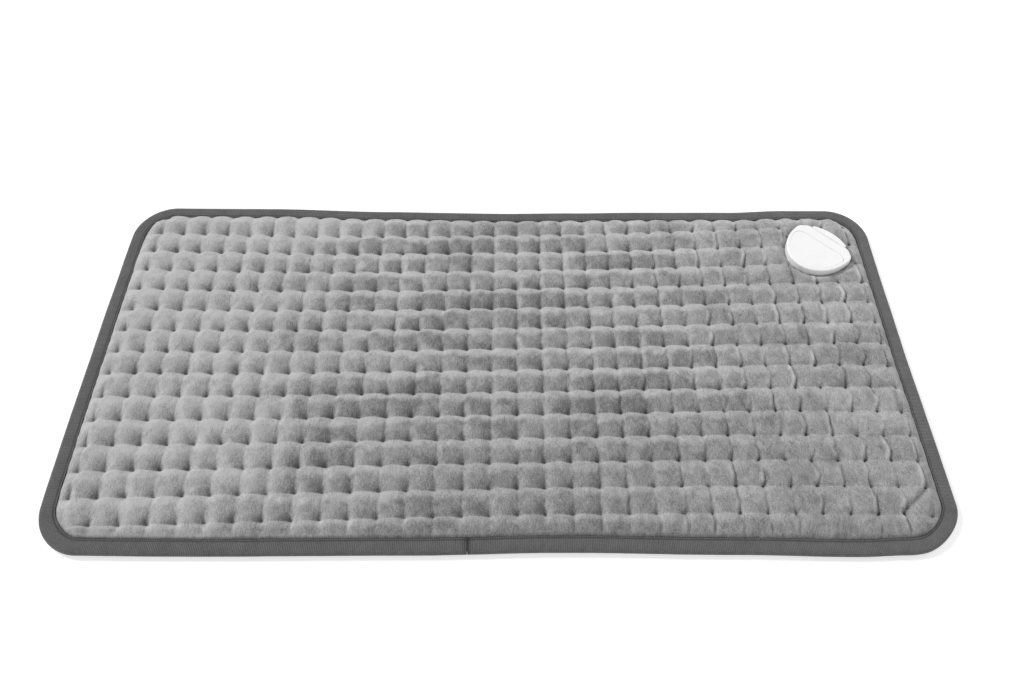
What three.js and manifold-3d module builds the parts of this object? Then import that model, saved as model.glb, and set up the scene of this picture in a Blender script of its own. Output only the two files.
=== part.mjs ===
// Electric heating pad, 24 x 12 inches, quilted plush with a bound edge, and an oval
// push-button controller clamped into one corner. The supply lead plugs into the controller's
// tongue, which points at the corner.
// Millimetres, +Z up. X runs along the pad, Y across it, and the origin is at the middle of
// the underside, on the surface that the pad lies on.
import * as THREE from "three";
import { mergeVertices } from "three/addons/utils/BufferGeometryUtils.js";
import Module from "manifold-3d";

const wasm = await Module();
wasm.setup();

// Overall sizes of the pad
const padLength = 610;
const padWidth = 305;
const cornerRadius = 32;

// Clearances and cutting overrun
const gap = 0.3;
const slideGap = 0.4;
const overrun = 2;

// Edge binding: one folded tape whose two ends meet on the near edge
const tape = 0.8;
const bindingWidth = 10.7;
const bindingSeamX = -23;
const foldSteps = 4;
const cornerSteps = 6;

// Fabric and filling layers, from the underside up
const backCoverEdge = 0.6;
const backWadding = 0.4;
const carrierThickness = 0.3;
const heatingWireDiameter = 1.1;
const leadDiameter = 1.2;
const frontWadding = 0.4;
const coverThickness = 0.7;
const coverEdge = 1.2;
const pillowRise = 3.4;
const pillowShoulder = 9;
const backDrawIn = 2;
const sheetMargin = 1;

// Quilting tacks, in columns along X and rows along Y
const columnPitch = 18.55;
const rowPitch = 19.55;
const rowDrift = 9.7;
const nearRowInset = 19;
const sideColumnInset = 14;

// Heating element: runs along X, joined by half-circle turns
const runPitch = 22;
const firstRunInset = 31.5;
const runEndInset = 38;
const returnWireInset = 24.5;
const controllerKeepOut = 32;
const wireBend = 5;
const turnSteps = 8;
const wireSides = 6;
const cutoutRunShares = [0.27, 0.73];
const cutoutLength = 16;
const cutoutWidth = 6;
const cutoutHeight = 1.8;
const spliceLength = 9;
const spliceWidth = 2.8;
const spliceHeight = 1.2;
const spliceDistance = 8;

// Controller outline: an oval cut by a chord, with its long axis on the corner's diagonal
const controllerInset = 44.6;
const ovalHalfLength = 33.8;
const ovalHalfWidth = 26;
const chordDistance = 7.3;
const earRun = 8;
const earFlat = 15.5;
const earRoundingShare = 0.6;
const outlineSteps = 9;
const clothSteps = 4;
const closeShare = 0.01;
const chamferShare = 0.3;
const rimSteps = 3;
const postSides = 20;
const barSides = 12;

// Controller base, under the front cover
const baseFloor = 1;
const baseWall = 1.2;
const baseWallInset = 3;
const flangeReach = 1.5;
const flangeThickness = 0.9;
const cutOutInset = 2.2;
const labyrinth = 1;
const sheetClearance = 0.8;

// Controller shell, above the front cover
const shellWall = 1.8;
const rimWidth = 2.5;
const rimRounding = 1;
const deckThickness = 0.8;
const tongueReach = 13.7;
const tongueWidth = 31;
const tongueBulge = 2.2;
const tongueCorner = 1.6;
const tongueDrop = 0.3;
const socketWidth = 23;
const socketWall = 0.8;
const clampMoat = 1.6;

// Circuit board and what stands on it
const boardThickness = 1.2;
const boardLift = 1;
const boardEdgeGap = 0.4;
const boardTabGap = 0.75;
const supportDiameter = 3;
const supportInset = 2;
const supportW = 3.4;
const tallestPart = 2.3;
const partGap = 0.4;
const partSpringGap = 0.6;
const triacSize = [6.2, 5.6];
const fuseSize = [3.6, 5.6];
const capacitorSize = [6.3, 4.5];
const chipSize = [3.6, 5.5];
const chipHeight = 1.2;
const switchSide = 6;
const switchHeight = 3.1;
const switchFloor = 0.8;
const plungerDiameter = 3.4;
const ribDiameter = 4.6;
const plungerRise = 1;

// Push button
const buttonTravel = 0.8;
const buttonStopClearance = 0.35;
const buttonSkirt = 0.9;
const buttonSkirtWall = 1.2;
const buttonPlate = 1.35;
const buttonRounding = 0.5;
const buttonCornerRun = 6;
const buttonCornerFlat = 15.5;
const hookWidth = 4;
const hookThickness = 1.2;
const hookBarb = 0.7;
const hookBarbHeight = 0.7;
const hookInset = 6.5;
const springDiameter = 13;
const springWire = 0.6;
const springTurns = 4;
const springSteps = 8;
const springSides = 5;

// Inlet block and pins
const blockDepth = 1.9;
const blockShoulder = 1.1;
const pinDiameter = 2;
const pinSpacing = 14;
const pinTipInset = 3.2;
const pinLeg = 1;
const webThickness = 1.2;

// Screws and bosses
const bossDiameter = 4.8;
const screwDiameter = 2;
const screwHeadDiameter = 4;
const screwHeadHeight = 1.1;
const screwEndGap = 0.6;
const bossWall = 0.9;
const rearBossInset = 0.5;
const frontBossInset = 5.4;

// Lead entry and clamp
const leadSpacing = 6.6;
const leadNotchMargin = 0.7;
const leadSides = 6;
const clampSetback = 1.7;
const clampLength = 2.6;
const clampBar = 1.2;
const clampEndMargin = 1.7;
const clampLeg = 1.3;
const clampTerminalGap = 0.4;
const terminalLength = 3.6;
const terminalMargin = 1;
const terminalHeight = 4.4;
const terminalFoot = 1.7;
const terminalSpringGap = 0.8;
const leadBendRun = 4;

// Heights, worked out from the layers
const backTop = tape + gap + backCoverEdge;
const carrierBottom = backTop + gap + backWadding + gap;
const carrierTop = carrierBottom + carrierThickness;
const wireFloor = carrierTop + gap;
const wireLayer = Math.max(leadDiameter, heatingWireDiameter);
const frontWaddingBottom = wireFloor + wireLayer + gap;
const coverBottom = frontWaddingBottom + frontWadding + gap;
const tackTop = coverBottom + coverThickness;
const crownTop = tackTop + pillowRise;
const coverEdgeTop = backTop + gap + coverEdge;
const bindingTop = coverEdgeTop + gap + tape;
const foldInset = bindingTop / 2;
const fieldInset = bindingWidth + gap;
const coreInset = fieldInset + pillowShoulder;
const sheetInset = coreInset + sheetMargin;

const baseBottom = backTop + gap;
const floorTop = baseBottom + baseFloor;
const boardBottom = floorTop + boardLift + gap;
const boardTop = boardBottom + boardThickness;
const partFloor = boardTop + gap;
const shellBottom = tackTop + gap;
const deckBottom = Math.max(partFloor + tallestPart, shellBottom + labyrinth) + gap;
const deckTop = deckBottom + deckThickness;
const skirtBottom = deckTop + buttonTravel + buttonStopClearance;
const plateBottom = skirtBottom + buttonSkirt;
const shellTop = plateBottom + buttonPlate;
const leadZ = wireFloor + leadDiameter / 2;
const leadTop = wireFloor + leadDiameter;
const wireZ = wireFloor + heatingWireDiameter / 2;
const flangeTop = coverBottom - gap;
const baseTop = shellBottom + labyrinth;
const bossMeet = floorTop + boardLift;
const socketBottom = shellBottom + socketWall;
const tongueTop = shellTop - tongueDrop;
const socketTop = tongueTop - socketWall;
const switchTop = partFloor + switchHeight;
const plungerTop = switchTop + plungerRise;

// Places along the controller's long axis (u), worked out from the chord inwards
const boardEdge = baseWallInset + baseWall + boardEdgeGap;
const blockFront = chordDistance - baseWallInset - baseWall - gap;
const pocketFront = blockFront + gap;
const blockRear = blockFront - blockDepth;
const pocketRear = blockRear - gap;
const windowChord = pocketRear - webThickness;
const buttonChord = windowChord - slideGap;
const pinZ = (socketBottom + socketTop) / 2;
const legU = blockRear + pinLeg / 2;
const pinTipU = tongueReach - pinTipInset;
const blockHalf = socketWidth / 2 + blockShoulder;

// Places along it from the rear wall forwards
const leadEntryU = -ovalHalfLength + baseWallInset;
const clampRear = leadEntryU + baseWall + clampSetback;
const clampFront = clampRear + clampLength;
const terminalRear = clampFront + clampTerminalGap;
const terminalFront = terminalRear + terminalLength;
const boardEndU = terminalFront + gap;
const footFront = boardEndU + terminalFoot;
const switchU = footFront + terminalSpringGap + springDiameter / 2;

// Screw bosses, and the board's tab and parts between them
const screwPadDiameter = screwHeadDiameter + 2 * (gap + bossWall);
const terminalHalf = (leadSpacing + leadDiameter) / 2 + terminalMargin;
const rearBossU = boardEndU + rearBossInset;
const rearBossW = terminalHalf + gap + screwPadDiameter / 2;
const frontBossU = windowChord - bossDiameter / 2;
const frontBossW = ovalHalfWidth - baseWallInset - baseWall - frontBossInset;
const boardShoulderU = rearBossU + bossDiameter / 2 + boardTabGap;
const boardTabHalf = rearBossW - bossDiameter / 2 - boardTabGap;
const partsRear = boardShoulderU + partGap;
const partsSide = springDiameter / 2 + partSpringGap;

// Colours and finishes
const plush = new THREE.MeshStandardMaterial({ color: 0xa6a6a6, roughness: 0.95, metalness: 0 });
const backPlush = new THREE.MeshStandardMaterial({ color: 0x9c9c9c, roughness: 0.95, metalness: 0 });
const tapeCloth = new THREE.MeshStandardMaterial({ color: 0x5c5c5c, roughness: 0.85, metalness: 0 });
const wadding = new THREE.MeshStandardMaterial({ color: 0xe6e6e2, roughness: 1, metalness: 0 });
const nonWoven = new THREE.MeshStandardMaterial({ color: 0xcfcfca, roughness: 1, metalness: 0 });
const wireJacket = new THREE.MeshStandardMaterial({ color: 0xb23b2e, roughness: 0.6, metalness: 0 });
const leadJacket = new THREE.MeshStandardMaterial({ color: 0xd8d8d4, roughness: 0.6, metalness: 0 });
const sleeve = new THREE.MeshStandardMaterial({ color: 0x2c2c2e, roughness: 0.7, metalness: 0 });
const whitePlastic = new THREE.MeshStandardMaterial({ color: 0xf4f4f3, roughness: 0.4, metalness: 0 });
const darkPlastic = new THREE.MeshStandardMaterial({ color: 0x26272a, roughness: 0.5, metalness: 0 });
const boardGreen = new THREE.MeshStandardMaterial({ color: 0x1f5a3a, roughness: 0.5, metalness: 0 });
const steel = new THREE.MeshStandardMaterial({ color: 0xb6b8ba, roughness: 0.35, metalness: 1 });
const brass = new THREE.MeshStandardMaterial({ color: 0xc9a65a, roughness: 0.3, metalness: 1 });

// Boolean helpers

// A closed three.js geometry as a solid that can be cut and joined.
function solidOf(geometry) {
  const bare = new THREE.BufferGeometry();
  bare.setAttribute("position", geometry.getAttribute("position"));
  bare.setIndex(geometry.index);
  const merged = mergeVertices(bare);
  return new wasm.Manifold(
    new wasm.Mesh({
      numProp: 3,
      vertProperties: new Float32Array(merged.attributes.position.array),
      triVerts: new Uint32Array(merged.index.array),
    }),
  );
}

// A solid back as a three.js geometry.
function geometryOf(solid) {
  const mesh = solid.getMesh();
  const geometry = new THREE.BufferGeometry();
  geometry.setAttribute("position", new THREE.BufferAttribute(mesh.vertProperties, 3));
  geometry.setIndex(new THREE.BufferAttribute(mesh.triVerts, 1));
  geometry.computeVertexNormals();
  return geometry;
}

// The first solid with the others joined on.
function joined(first, ...others) {
  return others.reduce((whole, piece) => whole.add(piece), first);
}

// The first solid with the others cut away.
function cut(first, ...tools) {
  return tools.reduce((rest, tool) => rest.subtract(tool), first);
}

// Shape helpers

// An outline stretched straight up from one height to another.
function prism(outline, bottom, top, steps = outlineSteps) {
  const shape = new THREE.Shape(openPoints(outline, steps));
  const geometry = new THREE.ExtrudeGeometry(shape, { depth: top - bottom, bevelEnabled: false });
  return solidOf(geometry.translate(0, 0, bottom));
}

// A closed skin through outlines of equal point counts at rising heights.
function loft(sections) {
  const rings = sections.map(({ outline, z }) =>
    openPoints(outline).map((p) => new THREE.Vector3(p.x, p.y, z)),
  );
  return solidOf(skinOf(rings));
}

// An outline's points, without the repeat that closes it.
function openPoints(outline, steps = outlineSteps) {
  const points = outline.getPoints(steps);
  const first = points[0];
  return points.filter((p, k) => k === 0 || p.distanceTo(first) > gap * closeShare);
}

// Closed skin through rings of points; each ring runs anticlockwise seen from the far end.
function skinOf(rings) {
  const count = rings[0].length;
  const positions = rings.flat().flatMap((p) => [p.x, p.y, p.z]);
  const index = [];
  for (let r = 0; r + 1 < rings.length; r++) {
    for (let k = 0; k < count; k++) {
      const a = r * count + k;
      const b = r * count + ((k + 1) % count);
      index.push(a, b, b + count, a, b + count, a + count);
    }
  }
  const last = (rings.length - 1) * count;
  for (const [i, j, k] of THREE.ShapeUtils.triangulateShape(flatPoints(rings[0]), [])) {
    index.push(k, j, i, last + i, last + j, last + k);
  }
  const geometry = new THREE.BufferGeometry();
  geometry.setAttribute("position", new THREE.Float32BufferAttribute(positions, 3));
  geometry.setIndex(index);
  return geometry;
}

// A ring's points in its own plane, anticlockwise, so that its end can be filled.
function flatPoints(ring) {
  const first = ring[0];
  const normal = new THREE.Vector3();
  ring.forEach((point, k) => {
    const next = ring[(k + 1) % ring.length].clone().sub(first);
    normal.add(point.clone().sub(first).cross(next));
  });
  const side = ring[1].clone().sub(first).normalize();
  const up = normal.normalize().cross(side);
  return ring.map((point) => {
    const from = point.clone().sub(first);
    return new THREE.Vector2(from.dot(side), from.dot(up));
  });
}

// A box from its two opposite corners.
function block(low, high) {
  const size = high.map((value, k) => value - low[k]);
  const middle = high.map((value, k) => (value + low[k]) / 2);
  return solidOf(new THREE.BoxGeometry(...size).translate(...middle));
}

// An upright cylinder.
function post(u, w, diameter, bottom, top) {
  const geometry = new THREE.CylinderGeometry(diameter / 2, diameter / 2, top - bottom, postSides);
  return solidOf(geometry.rotateX(Math.PI / 2).translate(u, w, (top + bottom) / 2));
}

// A cylinder lying along the controller's long axis.
function bar(fromU, toU, w, z, diameter) {
  const geometry = new THREE.CylinderGeometry(diameter / 2, diameter / 2, toU - fromU, barSides);
  return solidOf(geometry.rotateZ(Math.PI / 2).translate((fromU + toU) / 2, w, z));
}

// A tube along points that all lie in one plane, with that plane's normal.
function tubeAlong(points, diameter, sides, normal) {
  const rings = points.map((point, k) => {
    const before = points[Math.max(k - 1, 0)];
    const after = points[Math.min(k + 1, points.length - 1)];
    const along = after.clone().sub(before).normalize();
    const side = normal.clone().cross(along);
    return Array.from({ length: sides }, (_, s) => {
      const turn = (s / sides) * 2 * Math.PI;
      return point
        .clone()
        .addScaledVector(side, Math.cos(turn) * (diameter / 2))
        .addScaledVector(normal, Math.sin(turn) * (diameter / 2));
    });
  });
  return skinOf(rings);
}

// Points round the pad's corners, anticlockwise, with their outward directions.
function cornerStations() {
  const x = padLength / 2 - cornerRadius;
  const y = padWidth / 2 - cornerRadius;
  const centres = [[x, -y], [x, y], [-x, y], [-x, -y]];
  return centres.flatMap(([cx, cy], quarter) =>
    Array.from({ length: cornerSteps + 1 }, (_, k) => {
      const turn = (quarter - 1 + k / cornerSteps) * (Math.PI / 2);
      const [nx, ny] = [Math.cos(turn), Math.sin(turn)];
      return { x: cx + nx * cornerRadius, y: cy + ny * cornerRadius, nx, ny };
    }),
  );
}

// The pad's outline, moved inwards by a margin.
function padOutline(margin) {
  const points = cornerStations().map(
    ({ x, y, nx, ny }) => new THREE.Vector2(x - nx * margin, y - ny * margin),
  );
  return new THREE.Shape(points);
}

// How far a point lies inside the pad's outer edge.
function edgeDistance(x, y) {
  const fromX = Math.abs(x) - (padLength / 2 - cornerRadius);
  const fromY = Math.abs(y) - (padWidth / 2 - cornerRadius);
  const outside = Math.hypot(Math.max(fromX, 0), Math.max(fromY, 0));
  return cornerRadius - outside - Math.min(Math.max(fromX, fromY), 0);
}

// The controller's outline, moved inwards, closed by a chord across its long axis.
function ovalOutline(inset, chord = chordDistance - inset, run = earRun, flat = earFlat) {
  const a = ovalHalfLength - inset;
  const b = ovalHalfWidth - inset;
  const start = Math.acos((chord - run) / a);
  const u = a * Math.cos(start);
  const w = b * Math.sin(start);
  const slope = -(b * b * u) / (a * a * w);
  const handleU = u + run * earRoundingShare;
  const handleW = w + run * earRoundingShare * slope;
  const chordW = flat + (w - flat) * earRoundingShare;
  const outline = new THREE.Shape();
  outline.moveTo(chord, -flat);
  outline.lineTo(chord, flat);
  outline.bezierCurveTo(chord, chordW, handleU, handleW, u, w);
  outline.absellipse(0, 0, a, b, start, 2 * Math.PI - start, false);
  outline.bezierCurveTo(handleU, -handleW, chord, -chordW, chord, -flat);
  return outline;
}

// The controller's place on the pad, with its long axis pointing at the corner.
const controllerX = padLength / 2 - controllerInset;
const controllerY = padWidth / 2 - controllerInset;
const controllerTurn = Math.PI / 4;

// A solid in the controller's own frame, moved to its place on the pad.
function onPad(solid) {
  const place = new THREE.Matrix4().makeRotationZ(controllerTurn);
  place.setPosition(controllerX, controllerY, 0);
  return solidOf(geometryOf(solid).applyMatrix4(place));
}

// A point of the controller's own frame, on the pad.
function padPoint(u, w, z) {
  const c = Math.cos(controllerTurn);
  const s = Math.sin(controllerTurn);
  return new THREE.Vector3(controllerX + u * c - w * s, controllerY + u * s + w * c, z);
}

// How far a point of the pad lies outside the controller's outline, roughly.
function controllerDistance(x, y) {
  const c = Math.cos(controllerTurn);
  const s = Math.sin(controllerTurn);
  const u = (x - controllerX) * c + (y - controllerY) * s;
  const w = -(x - controllerX) * s + (y - controllerY) * c;
  const reach = Math.hypot(u / ovalHalfLength, w / ovalHalfWidth);
  return (reach - 1) * ovalHalfWidth;
}

// Pad: covers and binding

// The grid of tacks, with the quilted field's edge at both ends. The rows drift across the
// pad as they run along it, so a tack's Y depends on its X.
function tackGrid() {
  const edgeX = padLength / 2 - fieldInset;
  const edgeY = padWidth / 2 - fieldInset;
  const columns = Math.floor((padLength - 2 * sideColumnInset) / columnPitch);
  const firstRow = nearRowInset - padWidth / 2;
  const rows = Math.floor((edgeY - rowDrift / 2 - firstRow) / rowPitch) + 1;
  const inner = Array.from({ length: columns + 1 }, (_, k) => (k - columns / 2) * columnPitch);
  const xs = [-edgeX, ...inner, edgeX];
  const rowY = (x, j) => firstRow + (j - 1) * rowPitch + (rowDrift * x) / padLength;
  const yAt = (x, j) => (j === 0 ? -edgeY : j > rows ? edgeY : rowY(x, j));
  return { xs, rows: rows + 2, yAt };
}

// Height of the quilted surface: tacks are low, pillow crowns high, and both sink towards
// the binding and towards the controller's rim.
function quiltHeight(x, y, rise) {
  const fromBinding = (edgeDistance(x, y) - bindingWidth) / pillowShoulder;
  const fromController = controllerDistance(x, y) / pillowShoulder;
  const full = tackTop + rise;
  const low = bindingTop - tape / 2;
  const atEdge = low + (full - low) * THREE.MathUtils.clamp(fromBinding, 0, 1);
  const atRim = tackTop + rise * THREE.MathUtils.clamp(fromController, 0, 1);
  return Math.min(atEdge, atRim);
}

// The quilted top as a solid that stands on a level floor: each cell between four tacks has
// its crown in the middle, and crowns beside each other are joined by a low ridge.
function quiltedBlock(floor) {
  const { xs, rows, yAt } = tackGrid();
  const columns = xs.length;
  const tops = [];
  for (let j = 0; j < rows; j++) {
    for (const x of xs) tops.push([x, yAt(x, j), 0]);
  }
  for (let j = 0; j + 1 < rows; j++) {
    for (let i = 0; i + 1 < columns; i++) {
      const x = (xs[i] + xs[i + 1]) / 2;
      const [low, high] = [yAt(x, j), yAt(x, j + 1)];
      const share = Math.min((xs[i + 1] - xs[i]) / columnPitch, (high - low) / rowPitch, 1);
      tops.push([x, (low + high) / 2, pillowRise * share]);
    }
  }
  const upper = tops.flatMap(([x, y, rise]) => [x, y, quiltHeight(x, y, rise)]);
  const lower = tops.flatMap(([x, y]) => [x, y, floor]);
  const geometry = new THREE.BufferGeometry();
  geometry.setAttribute("position", new THREE.Float32BufferAttribute([...upper, ...lower], 3));
  geometry.setIndex(quiltIndex(columns, rows, tops.length));
  return solidOf(geometry);
}

// Triangles of the quilted block: its top, the same grid underneath, and the four walls. The
// part cells along the sides and the near edge have no crown.
function quiltIndex(columns, rows, layer) {
  const tack = (i, j) => j * columns + i;
  const crown = (i, j) => columns * rows + j * (columns - 1) + i;
  const crowned = (i, j) => i > 0 && i + 2 < columns && j > 0;
  const index = [];
  const add = (a, b, c) => index.push(a, b, c, layer + c, layer + b, layer + a);
  const wall = (a, b) => index.push(a, layer + a, layer + b, a, layer + b, b);
  for (let j = 0; j + 1 < rows; j++) {
    for (let i = 0; i + 1 < columns; i++) {
      const [nearLeft, nearRight] = [tack(i, j), tack(i + 1, j)];
      const [farLeft, farRight] = [tack(i, j + 1), tack(i + 1, j + 1)];
      if (!crowned(i, j)) {
        add(nearLeft, nearRight, farRight);
        add(nearLeft, farRight, farLeft);
        continue;
      }
      add(crown(i, j), nearLeft, nearRight);
      add(crown(i, j), farRight, farLeft);
      if (!crowned(i - 1, j)) add(crown(i, j), farLeft, nearLeft);
      if (crowned(i + 1, j)) {
        add(crown(i, j), nearRight, crown(i + 1, j));
        add(crown(i, j), crown(i + 1, j), farRight);
      } else {
        add(crown(i, j), nearRight, farRight);
      }
    }
  }
  for (let i = 0; i + 1 < columns; i++) {
    wall(tack(i, 0), tack(i + 1, 0));
    wall(tack(i + 1, rows - 1), tack(i, rows - 1));
  }
  for (let j = 0; j + 1 < rows; j++) {
    wall(tack(0, j + 1), tack(0, j));
    wall(tack(columns - 1, j), tack(columns - 1, j + 1));
  }
  return index;
}

// The tufted front cover: a thin sheet with a thicker sewn edge and a hole for the controller,
// flattened where the shell and its tongue clamp it.
function frontCover() {
  const bottom = backTop + gap;
  const above = crownTop + overrun;
  const pillows = quiltedBlock(bottom - overrun).intersect(prism(padOutline(fieldInset), bottom, above));
  const edge = prism(padOutline(foldInset), bottom, coverEdgeTop);
  const core = prism(padOutline(coreInset), bottom - overrun, coverBottom);
  const moat = prism(ovalOutline(-clampMoat), tackTop, above, clothSteps);
  const tongueMoat = prism(tongueOutline(clampMoat), tackTop, above, clothSteps);
  const opening = prism(ovalOutline(cutOutInset), bottom - overrun, above, clothSteps);
  return cut(joined(pillows, edge), core, onPad(moat), onPad(tongueMoat), onPad(opening));
}

// The plain back cover, which droops below its sewn edge and lies flat on the surface.
function backCover() {
  const edge = prism(padOutline(foldInset), tape + gap, backTop);
  const field = loft([
    { outline: padOutline(fieldInset + backDrawIn), z: 0 },
    { outline: padOutline(fieldInset), z: tape + gap },
    { outline: padOutline(fieldInset), z: backTop },
  ]);
  return joined(edge, field);
}

// The tape folded round the edge, swept along the outline from one cut end to the other.
function edgeBinding() {
  const half = bindingTop / 2;
  const fold = (radius) =>
    Array.from({ length: foldSteps + 1 }, (_, k) => {
      const turn = (k / foldSteps) * Math.PI;
      return [half - Math.sin(turn) * radius, half - Math.cos(turn) * radius];
    });
  const outer = [[bindingWidth, 0], ...fold(half), [bindingWidth, bindingTop]];
  const inner = [[bindingWidth, tape], ...fold(half - tape), [bindingWidth, bindingTop - tape]];
  const section = [...inner, ...outer.reverse()];
  const seam = { y: -padWidth / 2, nx: 0, ny: -1 };
  const start = { ...seam, x: bindingSeamX + gap / 2 };
  const end = { ...seam, x: bindingSeamX - gap / 2 };
  const rings = [start, ...cornerStations(), end].map(({ x, y, nx, ny }) =>
    section.map(([inset, z]) => new THREE.Vector3(x - nx * inset, y - ny * inset, z)),
  );
  return solidOf(skinOf(rings));
}

// Pad: filling and heating element

// A flat sheet inside the pad. It stops at the controller's base, and the corner beyond is cut off.
function innerSheet(bottom, thickness) {
  const clear = flangeReach + sheetClearance;
  const [low, high] = [bottom - overrun, bottom + thickness + overrun];
  const room = prism(ovalOutline(-clear), low, high);
  const half = ovalHalfWidth + clear;
  const beyond = block([0, -half, low], [2 * controllerInset, half, high]);
  return cut(prism(padOutline(sheetInset), bottom, bottom + thickness), onPad(joined(room, beyond)));
}

// Where a lead bends after it leaves the controller, and the direction that it takes there.
// The side is 1 for the lead that turns along X, and -1 for the one that turns along Y.
function leadRoute(side) {
  const w = (side * leadSpacing) / 2;
  const start = padPoint(terminalRear - gap, w, leadZ);
  const bend = padPoint(-ovalHalfLength - leadBendRun, w, leadZ);
  const onward = side > 0 ? new THREE.Vector3(-1, 0, 0) : new THREE.Vector3(0, -1, 0);
  const end = bend.clone().addScaledVector(onward, spliceDistance);
  return { corners: [start, bend, end], onward, end };
}

// The middle of a lead's splice.
function spliceCentre(side) {
  const { end, onward } = leadRoute(side);
  return end.addScaledVector(onward, gap + spliceLength / 2);
}

// Where the heating wire meets a lead's splice.
function wireEnd(side) {
  const { end, onward } = leadRoute(side);
  return end.addScaledVector(onward, spliceLength + 2 * gap).setZ(wireZ);
}

// How many runs the heating wire makes: an even number, so that it ends on the near right.
function runCount() {
  const span = padWidth - 2 * firstRunInset;
  return 2 * Math.round((span / runPitch + 1) / 2);
}

// The runs that a thermal cut-out parts, counted from the far edge.
function cutoutRuns() {
  return cutoutRunShares.map((share) => Math.round(share * (runCount() - 1)));
}

// The heating wire's routes, as corners: it runs to and fro along X below the controller's
// corner, and two thermal cut-outs part it into three lengths.
function wireRoutes() {
  const runs = runCount();
  const top = padWidth / 2 - firstRunInset;
  const left = runEndInset - padLength / 2;
  const outside = padLength / 2 - returnWireInset;
  const keepOutX = controllerX - ovalHalfLength - controllerKeepOut;
  const keepOutY = controllerY - ovalHalfLength - controllerKeepOut;
  const first = wireEnd(1);
  const last = wireEnd(-1);
  const riserX = keepOutX + runPitch / 2;
  const routes = [[[first.x, first.y], [riserX, first.y], [riserX, top]]];
  for (let k = 0; k < runs; k++) {
    const y = top - k * runPitch;
    const heading = k % 2 === 0 ? -1 : 1;
    if (cutoutRuns().includes(k)) {
      const reach = heading * (cutoutLength / 2 + gap);
      routes.at(-1).push([-reach, y]);
      routes.push([[reach, y]]);
    }
    const rightEnd = y > keepOutY ? keepOutX : -left;
    const end = heading < 0 ? left : rightEnd;
    if (k + 1 < runs) routes.at(-1).push([end, y], [end, y - runPitch]);
  }
  const lowest = top - (runs - 1) * runPitch;
  routes.at(-1).push([outside, lowest], [outside, keepOutY], [last.x, keepOutY], [last.x, last.y]);
  return routes.map((route) => route.map(([x, y]) => new THREE.Vector3(x, y, wireZ)));
}

// A route of corners as points, each inner corner rounded by an arc.
function rounded(corners, radius) {
  const points = [corners[0]];
  for (let k = 1; k + 1 < corners.length; k++) {
    const back = corners[k - 1].clone().sub(corners[k]).normalize();
    const on = corners[k + 1].clone().sub(corners[k]).normalize();
    const half = back.angleTo(on) / 2;
    const reach = radius / Math.tan(half);
    const middle = back.clone().add(on).normalize();
    const centre = corners[k].clone().addScaledVector(middle, radius / Math.sin(half));
    const from = corners[k].clone().addScaledVector(back, reach).sub(centre);
    const to = corners[k].clone().addScaledVector(on, reach).sub(centre);
    const turn = from.angleTo(to);
    const steps = Math.ceil((turn / Math.PI) * turnSteps);
    for (let s = 0; s <= steps; s++) {
      const a = Math.sin(turn * (1 - s / steps)) / Math.sin(turn);
      const b = Math.sin((turn * s) / steps) / Math.sin(turn);
      points.push(centre.clone().addScaledVector(from, a).addScaledVector(to, b));
    }
  }
  return [...points, corners.at(-1)];
}

// A wire or lead through its corners, all at one height.
function wireThrough(corners, diameter, sides, bend) {
  return solidOf(tubeAlong(rounded(corners, bend), diameter, sides, new THREE.Vector3(0, 0, 1)));
}

// The centres of the two thermal cut-outs.
function cutoutCentres() {
  return cutoutRuns().map((k) => ({ x: 0, y: padWidth / 2 - firstRunInset - k * runPitch }));
}

// The sheet that the heating wire is stitched to, with a window under each cut-out.
function heaterCarrier() {
  const windows = cutoutCentres().map(({ x, y }) =>
    block(
      [x - cutoutLength / 2 - gap, y - cutoutWidth / 2 - gap, carrierBottom - overrun],
      [x + cutoutLength / 2 + gap, y + cutoutWidth / 2 + gap, carrierTop + overrun],
    ),
  );
  return cut(innerSheet(carrierBottom, carrierThickness), ...windows);
}

// A flat bimetal cut-out, with its edges chamfered and a bore for the wire at each end.
function thermalCutout({ x, y }) {
  const half = cutoutWidth / 2;
  const edge = cutoutHeight * chamferShare;
  const outline = new THREE.Shape([
    new THREE.Vector2(-half, edge),
    new THREE.Vector2(-half + edge, 0),
    new THREE.Vector2(half - edge, 0),
    new THREE.Vector2(half, edge),
    new THREE.Vector2(half, cutoutHeight - edge),
    new THREE.Vector2(half - edge, cutoutHeight),
    new THREE.Vector2(-half + edge, cutoutHeight),
    new THREE.Vector2(-half, cutoutHeight - edge),
  ]);
  const geometry = new THREE.ExtrudeGeometry(outline, { depth: cutoutLength, bevelEnabled: false });
  geometry.rotateX(Math.PI / 2).rotateZ(Math.PI / 2);
  return solidOf(geometry.translate(x - cutoutLength / 2, y, carrierBottom));
}

// The crimped splice between a lead and the heating wire.
function splice(side) {
  const { x, y } = spliceCentre(side);
  const along = spliceLength / 2;
  const across = spliceWidth / 2;
  const [dx, dy] = side > 0 ? [along, across] : [across, along];
  return block([x - dx, y - dy, wireFloor], [x + dx, y + dy, wireFloor + spliceHeight]);
}

// Controller: base

// The places of the four screws, in the controller's own frame.
const screwSites = [
  [rearBossU, rearBossW],
  [rearBossU, -rearBossW],
  [frontBossU, frontBossW],
  [frontBossU, -frontBossW],
];

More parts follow.
